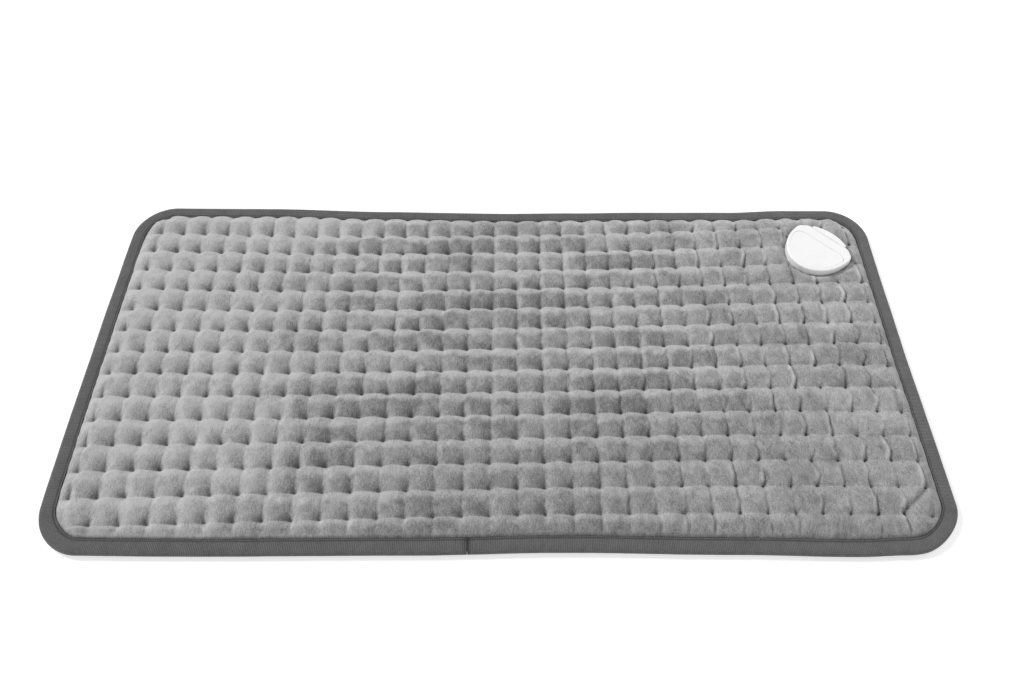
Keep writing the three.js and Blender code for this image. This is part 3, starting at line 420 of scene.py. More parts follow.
def fine_axis(count):
    """For one direction: the cell that each fine line lies in and its share across it."""
    steps = [OUTER_STEPS, INNER_STEPS] + [STEPS] * (count - 1) + [INNER_STEPS, OUTER_STEPS]
    cells = np.concatenate([np.full(n, k) for k, n in enumerate(steps)] + [[len(steps) - 1]])
    shares = np.concatenate([spread(n) if n > OUTER_STEPS else np.arange(n) / n for n in steps] + [[1.0]])
    return cells, shares


def cover_lattice():
    """The flat sheet's fine lattice: places x and y, cells i and j, and shares s and t across them."""
    node_x, node_y = lattice_nodes()
    cell_x, share_x = fine_axis(COLUMNS)
    cell_y, share_y = fine_axis(ROWS)
    i, j = cell_x[:, None], cell_y[None, :]
    s, t = share_x[:, None], share_y[None, :]

    def spread_out(a):
        near_side = a[i, j] * (1 - s) + a[i + 1, j] * s
        far_side = a[i, j + 1] * (1 - s) + a[i + 1, j + 1] * s
        return near_side * (1 - t) + far_side * t

    return SimpleNamespace(x=spread_out(node_x), y=spread_out(node_y), i=i, j=j, s=s, t=t)


def inset_of(x, y):
    """How far a point of the bowed pad lies inside its outer edge."""
    bx, by = bowed(x, y)
    return edge_distance(2 * x - bx, 2 * y - by)


def line_distances(cell, share, count, pitch, edge_width):
    """How far each point lies from the tack lines before and after it, where there are any."""
    far = 99.0
    width = np.where((cell < 2) | (cell > count), edge_width, pitch)
    return (np.where((cell >= 2) & (cell <= count + 1), share * width, far),
            np.where((cell >= 1) & (cell <= count), (1 - share) * width, far))


def edge_inset(x, y):
    """How far a point lies inside the line where the cover comes out from under the binding."""
    corner = between(np.abs(x), 262, 288) * between(np.abs(y), 108, 134)
    return inset_of(x, y) - BINDING_WIDTH - 0.9 * between(y, 100, 135) - 1.5 * corner


def pillow_heights(g):
    """Heights of the tufted sheet before any simulation: a plateau with a wide dimple at each tack."""
    x, y = g.x, g.y
    rightward = between(x, 60, 210)
    row_share = 0.05 + (0.11 - 0.07 * between(y, -30, -110)) * between(x, -190, -60)
    row_share = row_share - 0.09 * rightward + 0.07 * lattice_noise(x, y, 46, 61)
    column_share = 0.05 - 0.01 * rightward + 0.04 * lattice_noise(x, y, 41, 62)
    pit_share = 1.02 - row_share - column_share - 0.22 * rightward
    left, right = line_distances(g.i, g.s, COLUMNS, COLUMN_PITCH, 8.0)
    below, above = line_distances(g.j, g.t, ROWS, ROW_PITCH, 9.0)
    valley = row_share * np.maximum(np.exp(-below / 4.8), np.exp(-(above / 4.0) ** 1.2))
    valley = valley + column_share * np.maximum(np.exp(-(left / 4.6) ** 1.4), np.exp(-right / 3.4))
    # The sheet slopes down gently to each tack from its far left, and rises steeply and narrowly below it
    pit = 0
    for di, dx, wide in ((0, left, 3.4 - 0.9 * rightward), (1, right, 6.9 - 3.9 * rightward)):
        for dj, dy, long in ((0, below, 4.7 - 1.4 * rightward), (1, above, 2.6)):
            tack = g.i + di, g.j + dj
            wide_here = wide * (1 + 0.28 * hashed(*tack, 4))
            long_here = long * (1 + 0.33 * hashed(*tack, 5))
            if dj:
                wide_here = wide_here * (0.45 + 0.55 * np.exp(-dy / 1.1))
            reach = np.hypot(dx / wide_here, dy / long_here)
            pit = np.maximum(pit, (1 + 0.14 * hashed(*tack, 6)) * np.exp(-reach ** 1.25))
    uneven = 1.02 + 0.12 * hashed(g.i, g.j, 3)
    rise = (CROWN_TOP - TACK_TOP) * np.maximum(uneven - valley - pit_share * pit, 0)
    from_edge = np.clip(edge_inset(x, y) / 10.5, 0, 1) ** 0.62
    z = SEWN_TOP + (TACK_TOP - SEWN_TOP + rise) * from_edge
    rim = np.maximum(controller_distance(x, y) - 0.2, 0)
    from_rim = 0.75 * (1 - np.exp(-rim / 1.1)) + 0.25 * smooth(rim / 8)
    under_rim = TACK_TOP - 0.1
    return np.minimum(z, under_rim + (z - TACK_TOP + 0.1) * from_rim)


def pinned_points(g):
    """Which lattice points the stitches, the binding and the controller hold."""
    edge = inset_of(g.x, g.y) < BINDING_WIDTH + 0.3
    rim = controller_distance(g.x, g.y) < 0.8
    on_column = (g.s == 0) & (g.i >= 2) & (g.i <= COLUMNS + 1)
    on_row = (g.t == 0) & (g.j >= 2) & (g.j <= ROWS + 1)
    tack = on_column & on_row
    return edge | rim | tack, tack & ~edge & ~rim


def grid_quads(index):
    """The four corners of each cell of a grid of point numbers."""
    return np.stack([index[:-1, :-1], index[1:, :-1], index[1:, 1:], index[:-1, 1:]], -1)


def whole_cells(good):
    """The cells of a grid whose four corners are all good."""
    return good[:-1, :-1] & good[1:, :-1] & good[1:, 1:] & good[:-1, 1:]


def cloth_settled(z, g):
    """The sheet blown up a little between its tacks as slack cloth, as moves of the lattice's points."""
    frames, enlarged, largest_move = 18, 10, 2.2  # the cloth is simulated ten times as large as it is
    x, y = g.x[::2, ::2], g.y[::2, ::2]
    held = pinned_points(g)[0][::2, ::2]
    start = np.stack([x, y, z[::2, ::2]], -1)
    cells = grid_quads(np.arange(x.size).reshape(x.shape)).reshape(-1, 4)
    made = mesh_object("cloth_work", start.reshape(-1, 3) * enlarged, cells, PLUSH)
    group = made.vertex_groups.new(name="held")
    group.add(np.flatnonzero(held.ravel()).tolist(), 1.0, "REPLACE")
    slack = made.vertex_groups.new(name="slack")
    looseness = between(x.ravel(), -60, 270)
    for level in range(1, 11):
        members = np.flatnonzero(np.round(looseness * 10) == level)
        if len(members):
            slack.add(members.tolist(), level / 10, "REPLACE")
    modifier = made.modifiers.new("cloth", "CLOTH")
    s = modifier.settings
    s.quality, s.mass, s.air_damping = 6, 0.25, 3
    s.tension_stiffness, s.compression_stiffness = 30, 14
    s.shear_stiffness, s.bending_stiffness = 8, 0.3
    s.shrink_min, s.shrink_max = -0.02, -0.075
    s.vertex_group_shrink = "slack"
    s.use_pressure = True
    s.uniform_pressure_force = 0.6
    s.vertex_group_mass = "held"
    s.effector_weights.gravity = 0
    modifier.collision_settings.use_collision = False
    modifier.point_cache.frame_start, modifier.point_cache.frame_end = 1, frames
    scene = bpy.context.scene
    for k in range(1, frames + 1):
        scene.frame_set(k)
    evaluated = made.evaluated_get(bpy.context.evaluated_depsgraph_get())
    shaped = evaluated.to_mesh()
    points = np.empty(len(shaped.vertices) * 3, np.float32)
    shaped.vertices.foreach_get("co", points)
    evaluated.to_mesh_clear()
    bpy.data.objects.remove(made)
    scene.frame_set(1)
    moved = points.reshape(start.shape).astype(float) / MM / enlarged - start
    reach = np.linalg.norm(moved, axis=-1, keepdims=True)
    return 0.5 * moved * np.minimum(1, largest_move / np.maximum(reach, 1e-6))


def finer(grid):
    """A grid with a point added between each two, by cubic weights."""
    def once(a):
        padded = np.concatenate([2 * a[:1] - a[1:2], a, 2 * a[-1:] - a[-2:-1]])
        middle = (9 * (padded[1:-2] + padded[2:-1]) - padded[:-3] - padded[3:]) / 16
        out = np.empty((2 * len(a) - 1, *a.shape[1:]))
        out[::2], out[1::2] = a, middle
        return out

    return once(once(grid).swapaxes(0, 1)).swapaxes(0, 1)


def creases(g, x, crumple):
    """Folds that run up from the tacks, the ridges at their left and the shaded wedges, all from 0 to 1."""
    s, t, row = g.s, g.t, g.j
    line = g.i + (s > 0.5)
    width = (s - (s > 0.5)) * COLUMN_PITCH
    rightward = between(x, -170, 130)
    strength = np.clip(0.7 + 0.45 * hashed(line, row, 11), 0, 1) * (0.22 + 0.78 * rightward)
    reach = 0.36 + 0.48 * rightward + (0.12 + 0.18 * rightward) * hashed(line, row, 12)
    path = 1.1 * hashed(line, row, 13) + crumple * (1.6 + 1.0 * hashed(line, row, 15))
    path = path * np.sin(math.pi * t) + 0.5 * np.sin(t * 9 + line * 2.1)
    along_fold = smooth((reach - t) / 0.3) * strength
    fold = np.exp(-((width - path) / 0.85) ** 2) * along_fold
    ridge = np.exp(-((width - path + 2.2) / 1.5) ** 2) * along_fold
    ridge = ridge * np.clip(0.65 + 0.7 * hashed(line, row, 16), 0, 1)
    shade_wedge = smooth((0.7 + path - width) / 1.2) * np.exp(-(np.maximum(path - width, 0) / 3.8) ** 1.3)
    shade_wedge = shade_wedge * smooth((reach + 0.2 - t) / 0.5) * (0.5 + 0.5 * strength)
    return fold, ridge, shade_wedge


def sewn_corner(x, y):
    """The fold that is sewn across the near-right corner, from 0 to 1."""
    dx, dy, run_x, run_y = x - 282, y + 111, -18, -15
    share = np.clip((dx * run_x + dy * run_y) / (run_x ** 2 + run_y ** 2), 0, 1)
    return np.exp(-((np.hypot(dx - run_x * share, dy - run_y * share) / 1.4) ** 2))


def tack_pits(x, y, tack):
    """The tight dimple at each tack, from 0 to 1, longer towards its far left."""
    pit = np.zeros_like(x)
    steps = 9
    for a, b in np.argwhere(tack):
        window = (slice(max(a - steps, 0), a + steps + 1), slice(max(b - steps, 0), b + steps + 1))
        dx, dy = x[window] - x[a, b], y[window] - y[a, b]
        loose = between(x[a, b], 30, 180)
        reach_x = np.where(dx > 0, 1.0, 3.4 - 1.9 * loose)
        reach_y = np.where(dy > 0, 2.2 - 0.7 * loose, 0.9)
        pit[window] = np.maximum(pit[window], np.exp(-np.hypot(dx / reach_x, dy / reach_y) ** 1.3))
    return pit


def held_heights(z, inset, rim):
    """Heights kept over the filling, under a dome that falls to the binding, and low at the controller."""
    floor = 3.0
    dome = np.minimum(COVER_CEILING, 4.3 + 2.1 * np.maximum(inset + 0.6, 0) ** 0.6)
    z = np.clip(z, floor, dome)
    filling = np.minimum(np.where(inset > 0.5, 5.6, floor), floor + np.maximum(inset, 0) * 1.2)
    z = np.maximum(z, filling)
    return np.where(rim < 1.2, np.minimum(z, TACK_TOP + np.maximum(rim - 0.1, 0) * 1.2), z)


def pile_tone_and_painted_light(g, x, y, crumple, inside, ridge, shade_wedge):
    """How light the brushed pile looks, from 0 to 1: patches by the way it lies, with painted light and shade
    on the tufts and folds.
    """
    column, row, s, t = g.i, g.j, g.s, g.t
    # Patches with crisp, ragged borders, partly tuft by tuft along a row
    ragged_x = x + 1.6 * folds(x, y, 3.1, 81) + 2.5 * lattice_noise(x, y, 9, 83)
    ragged_y = y + 1.2 * folds(x, y, 3.1, 82)
    columns_at = np.floor((ragged_x + 285) / COLUMN_PITCH)
    rows_at = np.floor((ragged_y + 133 - ROW_DRIFT * x / PAD_LENGTH) / 19.0)
    tuftwise = lattice_noise(columns_at * 0.45 + 0.3, rows_at * 0.9, 1.0, 91)
    tuftwise = tuftwise + 0.3 * hashed(columns_at, rows_at, 92)
    brushed = 0.40 * tuftwise + 0.70 * folds(ragged_x, ragged_y * 1.5, 27, 93)
    middle = between(x, -225, -135) * (1 - 0.5 * between(x, 60, 180))
    # Each tuft is lighter along its far side and in a strip at its left, partly by the lie of its pile and
    # partly as painted light from the far left; the rest gets painted shade
    lit = t + 0.12 * folds(x, y * 0.7, 6, 94) + 0.09 * hashed(column, row, 97)
    banded = 0.30 + 0.30 * between(x, -150, -230)
    banded = banded + 0.70 * between(x, -190, -80) * (1 - 0.7 * between(x, 130, 220))
    strip = smooth((0.30 - s + 0.10 * folds(x, y, 7, 95)) / 0.22)
    strip = strip * np.clip(0.4 + 0.7 * hashed(column, row, 96), 0, 1)
    strip = 0.9 * strip * smooth((1.3 - 0.5 * middle - t) / 0.4)
    light = np.maximum(smooth((lit - 0.54) / 0.24), strip) * banded * inside
    patch = smooth((brushed + 0.02) / 0.16) * (1 - 0.8 * light)
    # Lighter at the left and towards the far side
    average = 0.88 - 0.37 * between(x, -215, -25) + 0.09 * y / 140
    nap_and_painted_light = average - (0.06 + 0.14 * middle) * patch
    nap_and_painted_light = nap_and_painted_light + 0.27 * light - 0.10 * banded * (1 - light) * inside
    nap_and_painted_light = nap_and_painted_light + 0.08 * folds(x, y, 42, 7) + 0.05 * folds(x, y, 9, 8)
    # Painted shade up and to the left of each tack, and painted highlight on the fold ridges at the right
    shaded = (0.46 + 0.50 * between(x, -120, -210)) * shade_wedge * (1 - 0.8 * crumple)
    nap_and_painted_light = nap_and_painted_light + (0.85 * crumple * ridge - shaded) * inside
    # Away from the controller each tuft also gets painted shade towards its right, the side turned from the
    # light
    shade = smooth((s - 0.30 + 0.12 * folds(x, y, 7, 98)) / 0.40)
    shade = shade * smooth((1.15 + 0.3 * hashed(column, row, 99) - t) / 0.6)
    nap_and_painted_light = nap_and_painted_light - 0.17 * shade * between(x, -40, -150) * inside
    # The nearest rows of the middle and the right are plainer
    plain = 0.45 * between(y, -30, -110) * between(x, -120, -20)
    return average + (1 - plain) * (nap_and_painted_light - average)


def front_cover():
    """The tufted cover: settled cloth with creases, dimples at its tacks, a scalloped edge and brushed pile,
    with painted light and shade.
    """
    g = cover_lattice()
    z = pillow_heights(g)
    x, y, s, t = g.x, g.y, g.s, g.t
    tack = pinned_points(g)[1]
    moved = finer(cloth_settled(z, g))
    x, y, z = x + moved[..., 0], y + moved[..., 1], z + moved[..., 2]
    inset = edge_inset(g.x, g.y)
    rim = controller_distance(g.x, g.y)
    inside = between(inset, 1, 5) * between(rim, 1, 6)
    crumple = between(x, -10, 280)
    fold, ridge, shade_wedge = creases(g, x, crumple)
    from_row = (t - (t > 0.5)) * ROW_PITCH
    seam = np.exp(-(from_row / 0.8) ** 2) * (0.75 + 0.25 * hashed(g.i, g.j + (t > 0.5), 14))
    wrinkle = folds(x, y * 0.8, 8.5, 1) * (0.10 + 0.46 * crumple)
    wrinkle = wrinkle + folds(x, y * 0.55, 4.0, 2) * (0.05 + 0.20 * crumple)
    winding = np.exp(-(lattice_noise(x, y * 0.6, 12, 31) / 0.18) ** 2)
    winding = winding * smooth(lattice_noise(x, y, 25, 32) * 2 + 0.7)
    corner_fold = sewn_corner(x, y)
    lump = np.exp(-(((x + 270) / 7.5) ** 2 + ((y + 135) / 3.6) ** 2) ** 2)
    pucker = np.exp(-np.maximum(rim, 0) / 13) * np.sin(rim / 1.9 + 1.6 * lattice_noise(x, y, 14, 71))
    z = z + inside * (wrinkle - (0.30 + 1.05 * crumple) * fold + 1.6 * crumple * ridge
                      - (0.08 + 0.08 * crumple) * seam + 0.40 * pucker - 0.9 * crumple * winding
                      - 1.8 * corner_fold + 1.6 * lump)
    pit = tack_pits(x, y, tack)
    z = z - 0.5 * pit * inside
    # Puffs that scallop over the binding at the far edge and the two sides
    overhang = np.exp(-((inset - 2.2) / 1.7) ** 2)
    puff = 3.4 + 1.6 * between(x, -60, -140)
    bulge_y = (puff * np.sin(math.pi * s) ** 0.7 - 0.3 * puff) * overhang * between(g.y, 118, 132)
    bulge_x = 0.7 * np.sin(math.pi * t) ** 0.7 * overhang * between(np.abs(g.x), 276, 286)
    x, y = x + np.sign(x) * bulge_x, y + bulge_y
    z = held_heights(z, inset, rim)
    nap_and_painted_light = pile_tone_and_painted_light(g, x, y, crumple, inside, ridge, shade_wedge)
    # Painted shade in the tack dimples, along the folds and seams, and along the line where the cover goes
    # under the binding
    folded = ((0.15 + 0.47 * crumple) * fold + 0.05 * crumple * seam + 0.3 * crumple * winding
              + 0.5 * corner_fold)
    at_binding = 0.8 * np.exp(-(np.maximum(inset - 0.2, 0) / 0.9) ** 2)
    crease_shade = np.clip((0.6 + 0.25 * crumple) * pit + folded * inside + at_binding, 0, 1)
    # It fills the pad's rounded outline under the binding, and ends just under the controller's rim
    keep = whole_cells(((inset_of(g.x, g.y) > 2.4) & (rim > -1.6))[::2, ::2])
    made = sheet_solid("plush_cover", x, y, z, keep, 0.6, PLUSH, {"nap_and_painted_light": nap_and_painted_light, "crease_shade": crease_shade})
    return made, (x, y, z), tack & (rim > 1.5)


def sheet_solid(name, x, y, z, keep, thickness, material, attributes=None):
    """A closed sheet: a fine upper face, a lower face with every second line, and a wall between them."""
    upper, coarse = np.arange(x.size).reshape(x.shape), x[::2, ::2]
    lower = x.size + np.arange(coarse.size).reshape(coarse.shape)
    top = grid_quads(upper)[np.repeat(np.repeat(keep, 2, 0), 2, 1)]
    bottom = grid_quads(lower)[keep][:, [0, 3, 2, 1]]
    faces = top.tolist() + bottom.tolist()
    padded = np.pad(keep, 1)
    for di, dj, a, m, b in ((0, -1, (0, 0), (1, 0), (2, 0)), (1, 0, (2, 0), (2, 1), (2, 2)),
                            (0, 1, (2, 2), (1, 2), (0, 2)), (-1, 0, (0, 2), (0, 1), (0, 0))):
        edge = keep & ~padded[1 + di:1 + di + keep.shape[0], 1 + dj:1 + dj + keep.shape[1]]
        for i, j in np.argwhere(edge):
            first, middle, last = (upper[2 * i + p, 2 * j + q] for p, q in (a, m, b))
            below_first, below_last = (lower[i + p // 2, j + q // 2] for p, q in (a, b))
            faces.append([last, middle, first, below_first, below_last])
    points = np.concatenate([
        np.stack([x, y, z], -1).reshape(-1, 3),
        np.stack([x, y, z - thickness], -1)[::2, ::2].reshape(-1, 3),
    ])
    used = np.zeros(len(points), bool)
    for face in faces:
        used[face] = True
    number = np.cumsum(used) - 1
    faces = [[number[v] for v in face] for face in faces]
    values = {}
    for key, grid in (attributes or {}).items():
        values[key] = np.concatenate([grid.ravel(), grid[::2, ::2].ravel()])[used]
    return mesh_object(name, points[used], faces, material, attributes=values)


# The binding: a folded tape swept round the edge

def perimeter():
    """Stations round the outline, anticlockwise between the tape's ends: place, outward direction, bend."""
    step, corner_steps = 1.5, 30
    x, y, r = CORNER_X, CORNER_Y, CORNER_RADIUS
    path = []

    def straight(x0, y0, x1, y1, nx, ny):
        count = max(int(math.hypot(x1 - x0, y1 - y0) / step), 1)
        for k in range(count):
            s = k / count
            path.append((x0 + (x1 - x0) * s, y0 + (y1 - y0) * s, nx, ny, 0.0))

    def corner(cx, cy, quarter):
        for k in range(corner_steps):
            turn = (quarter + k / corner_steps) * math.pi / 2
            nx, ny = math.cos(turn), math.sin(turn)
            path.append((cx + nx * r, cy + ny * r, nx, ny, math.sin(math.pi * k / corner_steps)))

    straight(SEAM_X + SEAM_GAP / 2, -y - r, x, -y - r, 0, -1)
    corner(x, -y, -1)
    straight(x + r, -y, x + r, y, 1, 0)
    corner(x, y, 0)
    straight(x, y + r, -x, y + r, 0, 1)
    corner(-x, y, 1)
    straight(-x - r, y, -x - r, -y, -1, 0)
    corner(-x, -y, 2)
    straight(-x, -y - r, SEAM_X - SEAM_GAP / 2, -y - r, 0, -1)
    path.append((SEAM_X - SEAM_GAP / 2, -y - r, 0, -1, 0.0))
    return np.array(path)


def tape_section():
    """Points (inset, height) round the folded tape, and how many of the first ones can move with its top."""
    half = BINDING_TOP / 2
    top = (10.7, 10.45, 10.1, 9.7, 9.45, 9.2, 8.95, 8.7, 8.3, 7.2, 6, 4.8, 3.6)
    points = [(10.75, BINDING_TOP - 0.35), *((inset, BINDING_TOP) for inset in top)]
    on_top = len(points) + 2

    def fold(radius, count, way):
        for k in range(1, count):
            turn = k / count * math.pi
            points.append((half - math.sin(turn) * radius, half + way * math.cos(turn) * radius))

    fold(half, 12, 1)
    points.extend((inset, 0.0) for inset in (3.6, 5.5, 7.5, 9.2, 10.5, 10.7))
    points.extend((inset, TAPE) for inset in (10.7, 8, 4))
    fold(half - TAPE, 8, -1)
    points.extend((inset, BINDING_TOP - TAPE) for inset in (4, 8, 10.7))
    return points, on_top


def edge_binding():
    """The tape swept round the edge: wavy inside, rippled in the corners, pinched at its ends."""
    path = perimeter()
    section, on_top = tape_section()
    lengths = np.concatenate([[0], np.cumsum(np.hypot(np.diff(path[:, 0]), np.diff(path[:, 1])))])
    points, uv, crease_shade = [], [], []
    for (x, y, nx, ny, bend), reached in zip(path, lengths):
        wave = 0.22 * lattice_noise(reached, 0, 23, 21) + 0.12 * lattice_noise(reached, 3, 9, 22)
        ripple = 0.16 * math.sin(reached / 1.9) * bend
        from_seam = min(reached, lengths[-1] - reached)
        pinch = math.exp(-((from_seam / 2.2) ** 2))
        for k, (inset, height) in enumerate(section):
            upper = height > BINDING_TOP / 2
            stitch = math.exp(-(((inset - STITCH_INSET) / 0.38) ** 2)) if upper and inset > 8 else 0.0
            inwards = max(0.0, (inset - 5) / 5.7)
            z = height
            if upper and k < on_top:
                swell = 0.10 * math.sin(min(inset, 8.3) / 8.3 * math.pi)
                z += -0.32 * stitch + swell + ripple * inwards - 0.25 * pinch
            shift = inset + wave * (0.4 + 0.6 * inwards) + 1.4 * inwards * bend
            px, py = bowed(x - nx * shift, y - ny * shift)
            points.append((float(px), float(py), max(z, 0.0)))
            uv.append((reached, inset))
            # Painted shade in the stitch groove, at the pinched ends and along the lip of the inner edge
            lip = 0.9 * (inset > 10.6) + 0.5 * (10.3 < inset <= 10.6)
            crease_shade.append(min(1.0, 0.95 * stitch + 0.8 * pinch * upper + lip * upper))
    index = np.arange(len(points)).reshape(len(path), len(section))
    around = np.roll(index, -1, axis=1)
    faces = np.stack([index[:-1], index[1:], around[1:], around[:-1]], -1).reshape(-1, 4).tolist()
    faces += [index[0, ::-1].tolist(), index[-1].tolist()]
    made = mesh_object("ribbed_binding", points, faces, TAPE_CLOTH, uv=uv, attributes={"crease_shade": crease_shade})
    return made, path, lengths


def thread_run(name, places, directions, length, thickness):
    """Short stitches, each a small rounded bar lying along its direction."""
    sides, rings = 6, ((-0.5, 0.35), (-0.42, 0.85), (-0.15, 1.0), (0.15, 1.0), (0.42, 0.85), (0.5, 0.35))
    points, faces = [], []
    for (x, y, z), (dx, dy) in zip(places, directions):
        base = len(points)
        for s, swell in rings:
            sink = -(s ** 2) * 1.6 * thickness
            for k in range(sides):
                turn = 2 * math.pi * k / sides
                side = math.cos(turn) * thickness / 2 * swell
                up = math.sin(turn) * thickness / 2 * swell + sink
                points.append((x + dx * s * length - dy * side, y + dy * s * length + dx * side, z + up))
        for r in range(len(rings) - 1):
            for k in range(sides):
                a, b = base + r * sides + k, base + r * sides + (k + 1) % sides
                faces.append((a, a + sides, b + sides, b))
        faces.append([base + k for k in range(sides)])
        faces.append([base + (len(rings) - 1) * sides + k for k in reversed(range(sides))])
    return mesh_object(name, points, faces, THREAD)


def binding_stitches(path, lengths):
    """The seam line that sews the tape on, 1.5 mm from its inner edge."""
    pitch, reached, last = 3.0, 1.8, lengths[-1] - 1.5
    places, directions = [], []
    while reached < last:
        x, y, nx, ny, _ = path[np.searchsorted(lengths, reached)]
        px, py = bowed(x - nx * STITCH_INSET, y - ny * STITCH_INSET)
        places.append((float(px), float(py), BINDING_TOP - 0.22))
        directions.append((-ny, nx))
        reached += pitch
    return thread_run("binding_stitches", places, directions, 2.5, 0.42)


# Back cover and the sheets inside

def plain_sheet(inset, step, opening=None, windows=()):
    """A flat sheet's lattice inside the pad, and the cells to keep: clear of the controller and the windows."""
    half_x, half_y = PAD_LENGTH / 2 - inset, PAD_WIDTH / 2 - inset
    xs, ys = (np.linspace(-half, half, 2 * int(half / step) + 1) for half in (half_x, half_y))
    x, y = np.meshgrid(xs, ys, indexing="ij")
    # Points outside the rounded outline slide onto it
    cx, cy = np.clip(x, -CORNER_X, CORNER_X), np.clip(y, -CORNER_Y, CORNER_Y)
    reach = np.hypot(x - cx, y - cy)
    outside = (edge_distance(x, y) < inset) & (reach > 0)
    share = np.where(outside, (CORNER_RADIUS - inset) / np.maximum(reach, 1e-6), 1)
    x, y = cx + (x - cx) * share, cy + (y - cy) * share
    cx, cy = x[::2, ::2], y[::2, ::2]
    good = np.ones(cx.shape, bool)
    if opening is not None:
        u, w = controller_place(cx, cy)
        good &= controller_distance(cx, cy) > opening
        good &= ~((u > 0) & (np.abs(w) < OVAL_B + opening))
        good &= ~((cx > CONTROLLER[0] + 16) & (cy > CONTROLLER[1] + 16))
    for wx, wy, hx, hy in windows:
        good &= ~((np.abs(cx - wx) < hx) & (np.abs(cy - wy) < hy))
    return x, y, whole_cells(good)


def lay(piece, inset, keep, rests_on):
    """Does nothing: the sheet, its inset, the cells kept and what it rests on are not used."""


def inner_sheet(name, rests_on, bottom, thickness, material, windows=()):
    """A flat sheet inside the pad, without the corner under the controller."""
    inset, step, opening = 21.2, 6.0, 3
    x, y, keep = plain_sheet(inset, step, opening, windows)
    piece = sheet_solid(name, x, y, np.full_like(x, bottom + thickness), keep, thickness, material)
    lay(piece, inset, keep, rests_on)
    return piece


def back_cover():
    """The plain plush underside: it droops to the surface inside the binding and lies flat there."""
    inset, step, thickness = 2.6, 3.0, 0.6
    x, y, keep = plain_sheet(inset, step)
    droop = smooth((edge_distance(x, y) - BINDING_WIDTH) / 3.5)
    z = 1.62 - 0.85 * droop + 0.08 * folds(x, y, 16, 31) * droop
    nap_and_painted_light = 0.5 + 0.22 * folds(x, y, 70, 41)
    x, y = bowed(x, y)
    attributes = {"nap_and_painted_light": nap_and_painted_light, "crease_shade": np.zeros_like(x)}
    piece = sheet_solid("plush_back", x, y, z, keep, thickness, BACK_PLUSH, attributes)
    lay(piece, inset, keep, "ribbed_binding")
    return piece


# Assembly of the soft goods

def stand_in(piece, node, body="pad"):
    """The piece is seen in place of a solid."""
    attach(piece, body)
    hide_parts(node)


cover, surface, tacks = front_cover()
binding, edge_path, edge_lengths = edge_binding()
stitches = binding_stitches(edge_path, edge_lengths)
back = back_cover()
CUTOUTS = ((0, 55, 9, 4), (0, -55, 9, 4))  # the windows round them: middle and half sizes
bottom_filling = inner_sheet("bottom_filling", "plush_back", 2.02, 0.36, WADDING)
carrier = inner_sheet("heater_sheet", "bottom_filling", 2.71, 0.28, NON_WOVEN, CUTOUTS)
top_filling = inner_sheet("top_filling", "heater_sheet", 4.82, 0.36, WADDING)

bx, by, bz = surface
tack_places = [(bx[a, b], by[a, b], bz[a, b] + 0.12) for a, b in np.argwhere(tacks)]
tack_threads = thread_run("tack_threads", tack_places, [(1.0, 0.0)] * len(tack_places), 1.9, 0.4)

stand_in(cover, "front_cover")
stand_in(binding, "edge_binding")
stand_in(back, "back_cover")
stand_in(top_filling, "front_wadding")
stand_in(bottom_filling, "back_wadding")
stand_in(carrier, "heater_carrier")
for piece in (stitches, tack_threads):
    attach(piece, "pad")


# Controller: the shell and the button in finer form, with the narrow seam between them

def oval_outline(inset, chord):
    """The D-shaped outline: part of an oval, cut by a chord, with rounded ears."""
    steps, a, b = 60, OVAL_A - inset, OVAL_B - inset
    start = math.acos((chord - EAR_RUN) / a)
    u, w = a * math.cos(start), b * math.sin(start)
    slope = -(b * b * u) / (a * a * w)
    corners = np.array([(chord, EAR_FLAT), (chord, EAR_FLAT + (w - EAR_FLAT) * EAR_SHARE),
                        (u + EAR_RUN * EAR_SHARE, w + EAR_RUN * EAR_SHARE * slope), (u, w)])
    t = np.linspace(0, 1, steps // 2)[:, None]
    ear = ((1 - t) ** 3 * corners[0] + 3 * (1 - t) ** 2 * t * corners[1] + 3 * (1 - t) * t * t * corners[2]
           + t ** 3 * corners[3])
    turn = np.linspace(start, 2 * math.pi - start, 4 * steps)[1:-1]
    arc = np.stack([a * np.cos(turn), b * np.sin(turn)], -1)
    return np.concatenate([ear, arc, ear[::-1] * (1, -1), ear[:1]])


def outline_offset(points, outline):
    """How far points lie inside an outline, and the direction out of it."""
    a, b = outline[:-1], outline[1:]
    along_edge = b - a
    share = ((points[:, None] - a) * along_edge).sum(-1) / np.maximum((along_edge ** 2).sum(-1), 1e-12)
    foot = a + np.clip(share, 0, 1)[..., None] * along_edge
    away = points[:, None] - foot
    gap = np.hypot(away[..., 0], away[..., 1])
    k = gap.argmin(1)
    nearest = (np.arange(len(points)), k)
    normal = np.stack([along_edge[k, 1], -along_edge[k, 0]], -1)
    normal /= np.maximum(np.hypot(normal[:, 0], normal[:, 1]), 1e-12)[:, None]
    side = (away[nearest] * normal).sum(-1)
    return -np.sign(side) * gap[nearest], normal


def finer_copy(name, node, material, change):
    """A copy of a solid, with its points moved in the controller's own frame, in millimetres."""
    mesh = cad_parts[node].data.copy()
    mesh.name = name
    points = np.empty(len(mesh.vertices) * 3)
    mesh.vertices.foreach_get("co", points)
    points = points.reshape(-1, 3) / MM
    uw, z = change(np.stack(controller_place(points[:, 0], points[:, 1]), -1), points[:, 2])
    x = CONTROLLER[0] + (uw[:, 0] - uw[:, 1]) * DIAGONAL
    y = CONTROLLER[1] + (uw[:, 0] + uw[:, 1]) * DIAGONAL
    mesh.vertices.foreach_set("co", (np.stack([x, y, z], -1) * MM).ravel())
    mesh.update()
    mesh.materials.clear()
    mesh.materials.append(material)
    return placed(name, mesh)


